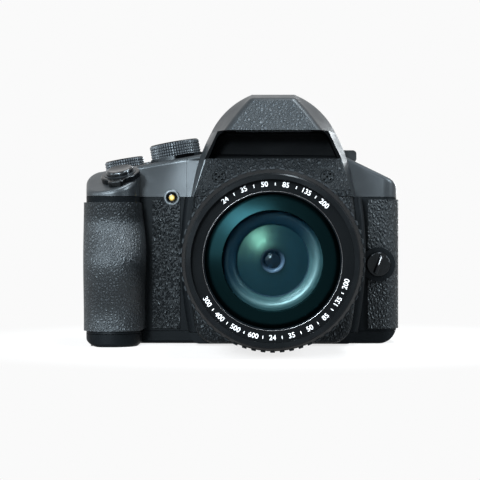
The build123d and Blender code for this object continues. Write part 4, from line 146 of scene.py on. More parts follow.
# The grip, with its swelling under the middle finger: the crest, the foot and the waist above it
RUBBER_COLOUR = (0.0130, 0.0160, 0.0187)
RUBBER_ROUGH = (0.55, 0.38)
RUBBER_PEBBLE = 1.10 * MM
RUBBER_DEPTH = 0.26 * MM
RUBBER_STRETCH = (1.0, 1.0, 0.8)
GRIP_LEVEL = 0.46
GRIP_CREST_Z = 34.0 * MM
GRIP_WAIST_Z = 51.0 * MM
GRIP_SHOULDER_Z = 62.0 * MM
GRIP_FOOT_Z = 12.0 * MM
GRIP_SWELL = 7.0 * MM
GRIP_HOLLOW = 6.0 * MM

# The top cover, with the slow crowning of its faces
TOP_COLOUR = (0.0055, 0.0068, 0.0080)
TOP_ROUGH = (0.31, 0.41)
TOP_LEVEL = 0.46
CROWN_SPAN = 34.0 * MM
CROWN_DEPTH = 5.0 * MM

# The recess under the flash head, painted near black and barely reflecting as shade: its heights and
# its front. A turn is a face's X times its direction's X, which is below zero where the face looks
# inward
RECESS_SHADE_COLOUR = (0.0004, 0.0004, 0.0005)
RECESS_SHADE_LEVEL = 0.01
RECESS_ROUGHER = 0.3
RECESS_LOW = 78.6 * MM
RECESS_HIGH = 91.0 * MM
RECESS_REAR = -5.0 * MM
RECESS_BLUR = 0.3 * MM
RECESS_TURN_NONE = 4.0 * MM
RECESS_TURN_FULL = -1.0 * MM

# The flash head, whose grained skin has painted light: a paler, lit copy of the body's leather. Its
# front plane:
# its normal, and how far a normal may turn from it before the grain stops
HEAD_LIT_COLOUR = (0.0220, 0.0272, 0.0318)
HEAD_ROUGH = (0.32, 0.42)
HEAD_GRAIN_ROUGH = (0.62, 0.36)
HEAD_LEVEL = 0.30
HEAD_NORMAL = (0.0, -0.878, 0.478)
HEAD_GRAIN_FROM = 0.965
HEAD_GRAIN_FULL = 0.985

# Barrels, with the fine rings that a lathe leaves
BARREL_COLOUR = (0.0018, 0.0022, 0.0026)
BARREL_LEVEL = 0.07
LATHE_PITCH = 0.16 * MM
LATHE_DEPTH = 0.004 * MM
NAME_RING_COLOUR = (0.0014, 0.0017, 0.0020)
NAME_RING_LEVEL = 0.03
LIP_COLOUR = (0.100, 0.105, 0.110)

# Knurled dials: satin studs, painted shade in the grooves below them, and the same dark on the dial's
# top
DIAL_COLOUR = (0.0300, 0.0350, 0.0400)
DIAL_ROUGH = (0.42, 0.22)
DIAL_LEVEL = 0.60
DIAL_DEPTH = 0.004 * MM
DIAL_GROOVE = 0.32 * MM
DIAL_LAND = 0.08 * MM
GROOVE_SHADE_COLOUR = (0.0006, 0.0007, 0.0008)
GROOVE_SHADE_LEVEL = 0.10

# Ribbed rubber with a little dust in it
RIBBED_COLOUR = (0.0062, 0.0076, 0.0088)
RIBBED_ROUGH = (0.42, 0.55)
RIBBED_LEVEL = 0.12
RIBBED_GRAIN = 0.3 * MM
RIBBED_DEPTH = 0.012 * MM
DUST_PATCH = 5.0 * MM
DUST_PALER = 1.6

# Brushed metal
STEEL_COLOUR = (0.34, 0.35, 0.36)
SHOE_COLOUR = (0.16, 0.165, 0.17)
GOLD_COLOUR = (0.75, 0.52, 0.20)
SHEET_COLOUR = (0.42, 0.43, 0.45)
BLACK_METAL_COLOUR = (0.012, 0.012, 0.013)
BLACK_METALLIC = 0.4
BRUSHED_STRETCH = (0.06, 1.0, 1.0)
BRUSHED_GRAIN = 0.12 * MM
BRUSHED_DEPTH = 0.003 * MM

# Ink
PRINT_COLOUR = (0.62, 0.63, 0.64)
RED_COLOUR = (0.45, 0.02, 0.02)
PRINT_ROUGHNESS = 0.45
PRINT_PATCH = 0.5 * MM
PRINT_DARKER = 0.82
PRINT_DEPTH = 0.004 * MM

# The eyepiece's clear glass
WINDOW_TINT = (0.80, 0.88, 0.90)
WINDOW_IOR = 1.45
WINDOW_PATCH = 9.0 * MM
WINDOW_DARKER = 0.97

# The front element: clear in its middle, with a coated rim
FRONT_BODY_COLOUR = (0.0, 0.0, 0.0)
FRONT_TINT = (0.93, 0.98, 0.98)
FRONT_COATING = (0.20, 0.78, 0.92)
FRONT_ROUGH = (0.216, 0.264)
FRONT_LEVEL = 0.15
FRONT_CLEAR_RADIUS = 19.4 * MM
FRONT_BLUR = 0.1 * MM

# The coated inner elements, with painted shade: how their colour changes, from near black at the middle
# to dark teal, with the distance from the lens axis
COATING_CENTRE_SHADE = (0.0010, 0.0035, 0.0070)
COATING_MIDDLE_SHADE = (0.0020, 0.0080, 0.0140)
COATING_RIM = (0.0030, 0.0130, 0.0180)
COATING_TINT = (0.50, 1.00, 0.72)
COATING_ROUGH = (0.21, 0.27)
COATING_LEVEL = 0.13
COATING_REACH = 19.2 * MM
COATING_INNER_FADE = (0.05, 0.45)
COATING_OUTER_FADE = (0.55, 1.0)
COATING_RINGS = 40.0

# The satin rings inside the lens, with a painted highlight: colour and reflection are full on the side
# with these x and z parts, and fall to painted shade on the other side
BAFFLE_HIGHLIGHT_COLOUR = (0.040, 0.085, 0.090)
BAFFLE_TINT = (0.72, 0.96, 1.0)
BAFFLE_LEVEL = 0.55
PUPIL_RING_HIGHLIGHT_COLOUR = (0.050, 0.080, 0.130)
PUPIL_RING_TINT = (0.70, 0.85, 1.0)
PUPIL_RING_LEVEL = 0.30
RING_ROUGH = (0.30, 0.40)
RING_PITCH = 0.8 * MM
RING_LIT_SIDE = (0.56, -0.83)
RING_LIT_FROM = -0.35
RING_SHADE_LEVEL = 0.05
PUPIL_ROUGH = (0.08, 0.12)
PUPIL_LEVEL = 0.12
PUPIL_REACH = 4.0 * MM
LENS_CELL_COLOUR = (0.0006, 0.0014, 0.0022)
LENS_CELL_LEVEL = 0.03

# The self-timer lamp: where its window ends and its bezel begins, as shares of the piece's radius,
# and how far outward each edge fades
AMBER_COLOUR = (0.72, 0.50, 0.07)
AMBER_EDGE_COLOUR = (0.16, 0.10, 0.01)
AMBER_HIGHLIGHT_COLOUR = (0.80, 0.62, 0.20)
BEZEL_COLOUR = (0.030, 0.036, 0.040)
BEZEL_ROUGH = (0.12, 0.28)
AMBER_SHARE = 0.36
BEZEL_SHARE = 0.66
BEZEL_BLUR = 1.06
AMBER_IOR = 1.5

# Screen, flash window, board, sensor and battery
SCREEN_COLOUR = (0.003, 0.0032, 0.0038)
SCREEN_ROUGH = (0.03, 0.10)
SCREEN_PATCH = 11.0 * MM
SCREEN_COAT = 0.4
SCREEN_COAT_ROUGHNESS = 0.03
DIFFUSER_COLOUR = (0.55, 0.57, 0.60)
DIFFUSER_ROUGHNESS = 0.2
DIFFUSER_PITCH = 0.9 * MM
DIFFUSER_DEPTH = 0.12 * MM
DIFFUSER_COAT = 0.5
BOARD_COLOUR = (0.010, 0.085, 0.035)
BOARD_ROUGHNESS = 0.4
BOARD_CELL = 2.4 * MM
BOARD_LINE = (0.02, 0.05)
BOARD_PALER = 2.0
SENSOR_COLOUR = (0.055, 0.060, 0.110)
BATTERY_COLOUR = (0.050, 0.052, 0.058)

# The printed ring round the front element. Each run of numbers: the words, the first one's angle, the
# step to the next, and whether their feet point to the lens axis
INK = 0.03 * MM
NAME_RING_TEXT_RADIUS = 29.2 * MM
NAME_RING_TEXT_HEIGHT = 2.7 * MM
NAME_RING_TEXT_WEIGHT = 0.02 * MM
NAME_RING_TICK = (0.28 * MM, 1.1 * MM)
NAME_RING_RUNS = (
    (("24", "35", "50", "85", "135", "200"), 128.0, -16.0, True),
    (("300", "400", "500", "600", "24", "35", "50", "85", "135", "200"), 212.0, 14.5, False),
)

# The bright lip inside the name ring
LIP_RADIUS = 26.4 * MM
LIP_WIDTH = 0.30 * MM
LIP_STEPS = 256

# The inside of the lens: rings and a small dome between the front and second elements
BAFFLE_OUTER = 19.3 * MM
BAFFLE_KNEE = 16.2 * MM
BAFFLE_INNER = 14.1 * MM
BAFFLE_SLOPE = math.tan(math.radians(29.0))
BAFFLE_INNER_SLOPE = math.tan(math.radians(14.0))
BAFFLE_THICKNESS = 0.25 * MM
STEP_RADIUS = 13.8 * MM
STEP_WIDTH = 0.14 * MM
PUPIL_RING_OUTER = 4.7 * MM
PUPIL_RING_INNER = 3.1 * MM
PUPIL_RING_RISE = 0.9 * MM
PUPIL_HEIGHT = 0.8 * MM
INNER_GAP = 0.3 * MM
SECOND_CURVE = 60.0 * MM
ROUND_STEPS = 192
DOME_STEPS = 64
DOME_ROWS = 10

# Marks on the mode dial, the zoom ring and the rear keys
MODE_NUMBERS = ("1", "2", "3", "4", "5", "6", "7", "8")
MODE_TEXT_RADIUS = 7.9 * MM
MODE_TEXT_HEIGHT = 3.0 * MM
ZOOM_NUMBERS = ("24", "35", "50", "85", "135", "200", "400", "600")
ZOOM_FROM = 90.0
ZOOM_STEP = -12.8
ZOOM_TEXT_HEIGHT = 2.0 * MM
ZOOM_BAND_Y = -56.5 * MM
ZOOM_INDEX_Y = -52.5 * MM
ZOOM_INDEX_LINE = (0.4 * MM, 3.0 * MM)
BARREL_CLEAR = 60.0 * MM
KEY_MARK = 1.1 * MM
PAD_MARK_REACH = 7.6 * MM

# The focus selector's bar and its line, whose length and place are shares of the bar's length
SELECTOR_BAR = (1.9 * MM, 8.4 * MM, 1.5 * MM)
SELECTOR_BAR_ROUND = 0.6 * MM
SELECTOR_BAR_STEPS = 4
SELECTOR_BAR_TURN = 20.0
SELECTOR_LINE_WIDTH = 0.35 * MM
SELECTOR_LINE_SHARE = 0.42
SELECTOR_LINE_LIFT = 0.2

# The accessory shoe's contacts, with their places from its middle in millimetres
CONTACT_RADIUS = 0.9 * MM
CONTACT_HEIGHT = 0.12 * MM
CONTACT_CLEAR = 1.0 * MM
CONTACT_PLACES = ((0.0, 0.0), (-3.4, -4.2), (3.4, -4.2), (-3.4, 3.6))
ROUND_MARK_STEPS = 24

# The places of a mixing node's colour sockets, whose names its other sockets share
MIX_FIRST = 6
MIX_SECOND = 7
MIX_RESULT = 2


class Graph:
    """A node tree, with short calls for its nodes and links."""

    def __init__(self, owner):
        owner.use_nodes = True
        self.tree = owner.node_tree

    def join(self, value, socket):
        """Links a socket to another node's output, or sets it to a value. A colour is made opaque."""
        if isinstance(value, bpy.types.NodeSocket):
            self.tree.links.new(value, socket)
        elif socket.type == "RGBA":
            socket.default_value = (*value, 1.0)
        else:
            socket.default_value = value

    def node(self, kind, inputs=(), output=0, **settings):
        """Adds a node and returns one of its outputs. The inputs are pairs of socket and value."""
        made = self.tree.nodes.new(kind)
        for key, value in settings.items():
            setattr(made, key, value)
        for socket, value in inputs:
            self.join(value, made.inputs[socket])
        return made.outputs[output]

    def place(self):
        """The point on the piece, in its own frame."""
        return self.node("ShaderNodeTexCoord", output="Object")

    def normal(self):
        """The surface's direction, in the piece's own frame."""
        return self.node("ShaderNodeTexCoord", output="Normal")

    def math(self, operation, first, second=0.0):
        """One step of arithmetic."""
        return self.node("ShaderNodeMath", [(0, first), (1, second)], operation=operation)

    def vector(self, operation, first, second, output="Vector"):
        """One step of arithmetic on vectors."""
        return self.node("ShaderNodeVectorMath", [(0, first), (1, second)], output, operation=operation)

    def dot(self, first, second):
        """The dot product of two vectors."""
        return self.vector("DOT_PRODUCT", first, second, "Value")

    def split(self, vector):
        """The X, Y and Z of a vector."""
        made = self.tree.nodes.new("ShaderNodeSeparateXYZ")
        self.join(vector, made.inputs[0])
        return made.outputs

    def stretch(self, value, low, high, to_low=0.0, to_high=1.0, smooth=True):
        """Maps a value from one range to another, with soft ends if it is smooth."""
        ends = [("From Min", low), ("From Max", high), ("To Min", to_low), ("To Max", to_high)]
        kind = "SMOOTHSTEP" if smooth else "LINEAR"
        return self.node("ShaderNodeMapRange", [("Value", value), *ends], interpolation_type=kind)

    def between(self, share, ends, smooth=True):
        """Maps a share of 0 to 1 to a value between two ends."""
        return self.stretch(share, 0.0, 1.0, *ends, smooth=smooth)

    def noise(self, place, size, detail=2.0, output="Fac"):
        """Soft noise whose features are about as large as the size."""
        inputs = [("Vector", place), ("Scale", 1.0 / size), ("Detail", detail)]
        return self.node("ShaderNodeTexNoise", inputs, output)

    def cell_edges(self, place, size):
        """The distance to the edge of the nearest of many irregular cells."""
        inputs = [("Vector", place), ("Scale", 1.0 / size)]
        return self.node("ShaderNodeTexVoronoi", inputs, "Distance", feature="DISTANCE_TO_EDGE")

    def mix(self, share, first, second):
        """Mixes two colours."""
        inputs = [("Factor", share), (MIX_FIRST, first), (MIX_SECOND, second)]
        return self.node("ShaderNodeMix", inputs, MIX_RESULT, data_type="RGBA")

    def bump(self, height, depth, below=None):
        """Raises the surface by a height of 0 to 1 times the depth, over any bump below it."""
        inputs = [("Height", height), ("Distance", depth), ("Strength", 1.0)]
        if below is not None:
            inputs.append(("Normal", below))
        return self.node("ShaderNodeBump", inputs, "Normal")

    def offsets(self, centre_x, centre_z):
        """How far the point lies from an axis along Y, in X and in Z."""
        x, _, z = self.split(self.place())
        return self.math("SUBTRACT", x, centre_x), self.math("SUBTRACT", z, centre_z)

    def radius(self, centre_x=LENS_X, centre_z=LENS_Z):
        """The distance from an axis along Y, which is the lens axis unless another is given."""
        aside, rise = self.offsets(centre_x, centre_z)
        squares = self.math("MULTIPLY", aside, aside), self.math("MULTIPLY", rise, rise)
        return self.math("SQRT", self.math("ADD", *squares))

    def blend(self, share, first, second, output):
        """Mixes two shaders and sends them to the tree's output node."""
        mixed = self.node("ShaderNodeMixShader", [(0, share), (1, first), (2, second)])
        self.join(mixed, self.tree.nodes[output].inputs["Surface"])


class Surface(Graph):
    """A material on the principled shader."""

    def __init__(self, name, colour):
        self.material = bpy.data.materials.new(name)
        self.material.diffuse_color = (*colour, 1.0)
        super().__init__(self.material)
        self.shader = self.tree.nodes["Principled BSDF"]
        self.done({"Base Color": colour, "Specular Tint": COOL_TINT})

    def done(self, sockets):
        """Sets or links the shader's sockets, and returns the material."""
        for socket, value in sockets.items():
            self.join(value, self.shader.inputs[socket])
        return self.material


def shade(colour, times):
    """A colour made darker or paler."""
    return tuple(times * part for part in colour)


def box_middle(node):
    """The middle of a node's box."""
    low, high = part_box(node)
    return (low + high) / 2


def leather_height(graph, pebble, stretched=LEATHER_STRETCH):
    """Irregular pebbles with rounded tops, drawn out along a slant as embossed leather is."""
    inputs = [("Vector", graph.place()), ("Rotation", LEATHER_SLANT), ("Scale", stretched)]
    turned = graph.node("ShaderNodeMapping", inputs)
    wander = graph.noise(turned, pebble * LEATHER_WANDER, output="Color")
    bent = graph.vector("ADD", turned, graph.vector("MULTIPLY", wander, (pebble, pebble, pebble)))
    domes = graph.stretch(graph.cell_edges(bent, pebble), 0.0, LEATHER_DOME)
    pores = graph.noise(turned, pebble * LEATHER_PORE, detail=3.0)
    raised = graph.math("MULTIPLY", domes, 1.0 - LEATHER_PORE_SHARE)
    return graph.math("ADD", raised, graph.math("MULTIPLY", pores, LEATHER_PORE_SHARE))


def spark_height(graph, grain=SPARK_GRAIN):
    """The fine matte texture of a moulded face."""
    return graph.noise(graph.place(), grain, detail=3.0)


def worn_roughness(graph, rough, patch=WORN_PATCH):
    """Roughness that drifts over the surface, as handling leaves it."""
    return graph.stretch(graph.noise(graph.place(), patch, detail=4.0), *WORN_SPREAD, *rough)


def leather_material(name, colour, level):
    """Embossed skin, with painted shade darkening it between its pebbles, and smoother on their tops.
    """
    graph = Surface(name, colour)
    height = leather_height(graph, LEATHER_PEBBLE)
    return graph.done({
        "Base Color": graph.mix(height, GRAIN_VALLEY_SHADE, colour),
        "Roughness": graph.between(height, LEATHER_ROUGH),
        "Normal": graph.bump(height, LEATHER_DEPTH),
        "Specular IOR Level": level,
    })


def grip_material():
    """Pebbled rubber, with painted shade between its pebbles and a broad bump that deepens the shading
    of the grip's swelling.
    """
    graph = Surface("grip_rubber", RUBBER_COLOUR)
    height = leather_height(graph, RUBBER_PEBBLE, RUBBER_STRETCH)
    z = graph.split(graph.place())[2]
    above = graph.stretch(z, GRIP_WAIST_Z, GRIP_CREST_Z)
    below = graph.stretch(z, GRIP_FOOT_Z, GRIP_CREST_Z)
    crest = graph.bump(graph.math("MULTIPLY", above, below), GRIP_SWELL)
    swell = graph.bump(graph.stretch(z, GRIP_WAIST_Z, GRIP_SHOULDER_Z), GRIP_HOLLOW, crest)
    return graph.done({
        "Base Color": graph.mix(height, GRAIN_VALLEY_SHADE, RUBBER_COLOUR),
        "Roughness": graph.between(height, RUBBER_ROUGH),
        "Normal": graph.bump(height, RUBBER_DEPTH, swell),
        "Specular IOR Level": GRIP_LEVEL,
    })


def moulded_material(name, colour, rough=SHELL_ROUGH, depth=SPARK_DEPTH, level=SHELL_LEVEL):
    """Moulded plastic or rubber, whose tone and roughness drift slowly."""
    graph = Surface(name, colour)
    tone = graph.noise(graph.place(), SHELL_PATCH, detail=3.0)
    return graph.done({
        "Base Color": graph.mix(tone, shade(colour, SHELL_DARKER), colour),
        "Roughness": worn_roughness(graph, rough),
        "Normal": graph.bump(spark_height(graph), depth),
        "Specular IOR Level": level,
    })


def top_cover_material():
    """Moulded shell with painted shade: its recess under the flash head is painted near black, rougher
    and barely reflecting.
    """
    graph = Surface("top_shell", TOP_COLOUR)
    x, y, z = graph.split(graph.place())
    above = graph.stretch(z, RECESS_LOW - RECESS_BLUR, RECESS_LOW + RECESS_BLUR)
    below = graph.stretch(z, RECESS_HIGH + RECESS_BLUR, RECESS_HIGH - RECESS_BLUR)
    outward = graph.math("MULTIPLY", graph.split(graph.normal())[0], x)
    within = graph.stretch(outward, RECESS_TURN_NONE, RECESS_TURN_FULL)
    ahead = graph.stretch(y, RECESS_REAR, RECESS_REAR - RECESS_BLUR)
    upright = graph.math("MULTIPLY", above, below)
    # The mask marks the recess, where shade is painted in colour, roughness and reflection level
    mask = graph.math("MULTIPLY", upright, graph.math("MULTIPLY", within, ahead))
    rougher = graph.math("MULTIPLY", mask, RECESS_ROUGHER)
    crown = graph.bump(graph.noise(graph.place(), CROWN_SPAN, detail=0.0), CROWN_DEPTH)
    return graph.done({
        "Base Color": graph.mix(mask, TOP_COLOUR, RECESS_SHADE_COLOUR),
        "Roughness": graph.math("ADD", worn_roughness(graph, TOP_ROUGH), rougher),
        "Normal": graph.bump(spark_height(graph), SPARK_DEPTH, crown),
        "Specular IOR Level": graph.between(mask, (TOP_LEVEL, RECESS_SHADE_LEVEL), smooth=False),
    })


def flash_head_material():
    """Smooth satin bevels round a grained front, whose skin is painted paler as a lit copy of the
    leather, with painted shade between its pebbles.
    """
    graph = Surface("flash_head_skin", HEAD_LIT_COLOUR)
    mask = graph.stretch(graph.dot(graph.normal(), HEAD_NORMAL), HEAD_GRAIN_FROM, HEAD_GRAIN_FULL)
    height = leather_height(graph, LEATHER_PEBBLE)
    skin = graph.mix(height, GRAIN_VALLEY_SHADE, HEAD_LIT_COLOUR)
    smooth = worn_roughness(graph, HEAD_ROUGH)
    grained = graph.between(height, HEAD_GRAIN_ROUGH)
    shift = graph.math("MULTIPLY", mask, graph.math("SUBTRACT", grained, smooth))
    fine = graph.bump(spark_height(graph), SPARK_DEPTH)
    return graph.done({
        "Base Color": graph.mix(mask, TOP_COLOUR, skin),
        "Roughness": graph.math("ADD", smooth, shift),
        "Normal": graph.bump(graph.math("MULTIPLY", mask, height), LEATHER_DEPTH, fine),
        "Specular IOR Level": HEAD_LEVEL,
    })


def turned_material(name, colour, rough, metallic=0.0, level=BARREL_LEVEL):
    """Satin black with the fine rings that a lathe leaves round the lens axis."""
    graph = Surface(name, colour)
    y = graph.split(graph.place())[1]
    along = graph.node("ShaderNodeCombineXYZ", [("X", graph.radius()), ("Y", y)])
    return graph.done({
        "Metallic": metallic,
        "Roughness": worn_roughness(graph, rough),
        "Normal": graph.bump(graph.noise(along, LATHE_PITCH), LATHE_DEPTH),
        "Specular IOR Level": level,
    })


def dial_material(node, joint):
    """A knurled dial: satin studs round its rim; painted shade darkens the grooves between them, and
    the same dark covers its top.
    """
    graph = Surface(node + "_metal", DIAL_COLOUR)
    low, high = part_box(node)
    reach = (high.y - low.y) / 2
    away = graph.vector("SUBTRACT", graph.place(), JOINTS[joint]["pos_m"])
    along = graph.dot(away, JOINTS[joint]["axis"])
    aside = graph.math("SUBTRACT", graph.dot(away, away), graph.math("MULTIPLY", along, along))
    land = graph.stretch(graph.math("SQRT", aside), reach - DIAL_GROOVE, reach - DIAL_LAND)
    return graph.done({
        "Base Color": graph.mix(land, GROOVE_SHADE_COLOUR, DIAL_COLOUR),
        "Roughness": graph.between(land, DIAL_ROUGH),
        "Normal": graph.bump(spark_height(graph), DIAL_DEPTH),
        "Specular IOR Level": graph.between(land, (GROOVE_SHADE_LEVEL, DIAL_LEVEL), smooth=False),
    })


def ribbed_material():
    """The rubber of the zoom and focus rings, paler where dust lies."""
    graph = Surface("ribbed_rubber", RIBBED_COLOUR)
    dust = graph.noise(graph.place(), DUST_PATCH, detail=4.0)
    return graph.done({
        "Base Color": graph.mix(dust, RIBBED_COLOUR, shade(RIBBED_COLOUR, DUST_PALER)),
        "Roughness": worn_roughness(graph, RIBBED_ROUGH),
        "Normal": graph.bump(spark_height(graph, RIBBED_GRAIN), RIBBED_DEPTH),
        "Specular IOR Level": RIBBED_LEVEL,
    })


def brushed_material(name, colour, rough, metallic=1.0):
    """Metal brushed along X."""
    graph = Surface(name, colour)
    drawn = graph.node("ShaderNodeMapping", [("Vector", graph.place()), ("Scale", BRUSHED_STRETCH)])
    streaks = graph.noise(drawn, BRUSHED_GRAIN, detail=3.0)
    return graph.done({
        "Metallic": metallic,
        "Roughness": graph.stretch(streaks, *STREAK_SPREAD, *rough),
        "Normal": graph.bump(streaks, BRUSHED_DEPTH),
    })


def printed_material(name, colour):
    """Ink, with the faint unevenness of a screen print."""
    graph = Surface(name, colour)
    tone = graph.noise(graph.place(), PRINT_PATCH, detail=3.0)
    return graph.done({
        "Base Color": graph.mix(tone, shade(colour, PRINT_DARKER), colour),
        "Roughness": PRINT_ROUGHNESS,
        "Normal": graph.bump(tone, PRINT_DEPTH),
    })


def gloss_material():
    """Polished black plastic."""
    graph = Surface("gloss_black", GLOSS_COLOUR)
    return graph.done({
        "Roughness": worn_roughness(graph, GLOSS_ROUGH, GLOSS_PATCH),
        "Normal": graph.bump(spark_height(graph, GLOSS_GRAIN), GLOSS_DEPTH),
    })


def clear_glass_material():
    """Clear glass with a faint drift in its tint."""
    graph = Surface("clear_window", WINDOW_TINT)
    tone = graph.noise(graph.place(), WINDOW_PATCH, detail=3.0)
    return graph.done({
        "Base Color": graph.mix(tone, shade(WINDOW_TINT, WINDOW_DARKER), WINDOW_TINT),
        "Roughness": 0.0,
        "IOR": WINDOW_IOR,
        "Transmission Weight": 1.0,
    })


def front_glass_material():
    """The front element: clear inside, with a blackened rim whose coating reflects blue-green."""
    graph = Surface("coated_front_glass", FRONT_BODY_COLOUR)
    inner, outer = FRONT_CLEAR_RADIUS - FRONT_BLUR, FRONT_CLEAR_RADIUS + FRONT_BLUR
    rim = graph.stretch(graph.radius(), inner, outer)
    clear = graph.node("ShaderNodeBsdfTransparent", [("Color", FRONT_TINT)])
    graph.blend(rim, clear, graph.shader.outputs[0], "Material Output")
    return graph.done({
        "Roughness": worn_roughness(graph, FRONT_ROUGH),
        "Specular Tint": FRONT_COATING,
        "Specular IOR Level": FRONT_LEVEL,
    })


def coated_material():
    """A multi-coated element: painted shade makes it dark at its middle, teal outside, with a green
    reflection.
    """
    graph = Surface("coated_inner_element", COATING_MIDDLE_SHADE)
    share = graph.math("DIVIDE", graph.radius(), COATING_REACH)
    inner = graph.mix(graph.stretch(share, *COATING_INNER_FADE), COATING_CENTRE_SHADE, COATING_MIDDLE_SHADE)
    rings = graph.math("SINE", graph.math("MULTIPLY", share, COATING_RINGS))
    return graph.done({
        "Base Color": graph.mix(graph.stretch(share, *COATING_OUTER_FADE), inner, COATING_RIM),
        "Roughness": graph.stretch(rings, -1.0, 1.0, *COATING_ROUGH),
        "Specular Tint": COATING_TINT,
        "Specular IOR Level": COATING_LEVEL,
    })


def satin_cone_material(name, dark, colour, tint, level):
    """A satin ring round the lens axis with faint turned steps, with a painted highlight: its colour
    and reflection are full on one side and fall to painted shade on the other.
    """
    graph = Surface(name, colour)
    radius = graph.radius()
    rings = graph.noise(graph.node("ShaderNodeCombineXYZ", [("X", radius)]), RING_PITCH)
    aside, rise = graph.offsets(LENS_X, LENS_Z)
    parts = graph.math("MULTIPLY", aside, RING_LIT_SIDE[0]), graph.math("MULTIPLY", rise, RING_LIT_SIDE[1])
    cosine = graph.math("DIVIDE", graph.math("ADD", *parts), radius)
    # The side share paints the highlight: full towards the lit side, dark and barely reflecting away
    # from it
    side = graph.stretch(cosine, RING_LIT_FROM, 1.0)
    return graph.done({
        "Base Color": graph.mix(graph.math("MULTIPLY", side, rings), dark, colour),
        "Roughness": graph.stretch(rings, *STREAK_SPREAD, *RING_ROUGH),
        "Specular Tint": tint,
        "Specular IOR Level": graph.between(side, (RING_SHADE_LEVEL, level), smooth=False),
    })


def pupil_material():
    """The small dark element at the middle of the lens, in the painted shade of the lens's middle."""
    graph = Surface("pupil_glass", COATING_CENTRE_SHADE)
    return graph.done({
        "Roughness": graph.stretch(graph.radius(), 0.0, PUPIL_REACH, *PUPIL_ROUGH),
        "Specular IOR Level": PUPIL_LEVEL,
    })


def lamp_material():
    """The amber self-timer window with a painted highlight that makes it paler in its middle, ringed by
    a black band painted as the shade of a recess, in a satin bezel.
    """
    graph = Surface("amber_window", AMBER_COLOUR)
    low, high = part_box("af_lamp_lens")
    middle = box_middle("af_lamp_lens")
    share = graph.math("DIVIDE", graph.radius(middle.x, middle.z), (high.x - low.x) / 2)
    # Painted highlight: pale amber at the middle, darkening towards the window's edge
    amber = graph.mix(graph.stretch(share, 0.0, AMBER_SHARE), AMBER_HIGHLIGHT_COLOUR, AMBER_EDGE_COLOUR)
    # Painted shade: a black band round the window, as in a recess
    recess = graph.stretch(share, AMBER_SHARE, AMBER_SHARE * BEZEL_BLUR)
    bezel = graph.stretch(share, BEZEL_SHARE, BEZEL_SHARE * BEZEL_BLUR)
    return graph.done({
        "Base Color": graph.mix(bezel, graph.mix(recess, amber, GLOSS_COLOUR), BEZEL_COLOUR),
        "Roughness": graph.between(bezel, BEZEL_ROUGH),
        "IOR": AMBER_IOR,
    })


def screen_material():
    """The rear screen's dark glass, with faint smears."""
    graph = Surface("screen_glass", SCREEN_COLOUR)
    smears = graph.noise(graph.place(), SCREEN_PATCH, detail=4.0)
    return graph.done({
        "Roughness": graph.stretch(smears, *SMEAR_SPREAD, *SCREEN_ROUGH),
        "Coat Weight": SCREEN_COAT,
        "Coat Roughness": SCREEN_COAT_ROUGHNESS,
    })


def board_material():
    """A circuit board, crossed by paler tracks."""
    graph = Surface("circuit_board", BOARD_COLOUR)
    beside = graph.stretch(graph.cell_edges(graph.place(), BOARD_CELL), *BOARD_LINE)
    return graph.done({
        "Base Color": graph.mix(beside, shade(BOARD_COLOUR, BOARD_PALER), BOARD_COLOUR),
        "Roughness": BOARD_ROUGHNESS,
    })


def diffuser_material():
    """The flash window's ribbed diffuser."""
    graph = Surface("flash_diffuser", DIFFUSER_COLOUR)
    x = graph.split(graph.place())[0]
    ribs = graph.math("SINE", graph.math("MULTIPLY", x, math.tau / DIFFUSER_PITCH))
    return graph.done({
        "Roughness": DIFFUSER_ROUGHNESS,
        "Normal": graph.bump(graph.stretch(ribs, -1.0, 1.0, smooth=False), DIFFUSER_DEPTH),
        "Coat Weight": DIFFUSER_COAT,
    })


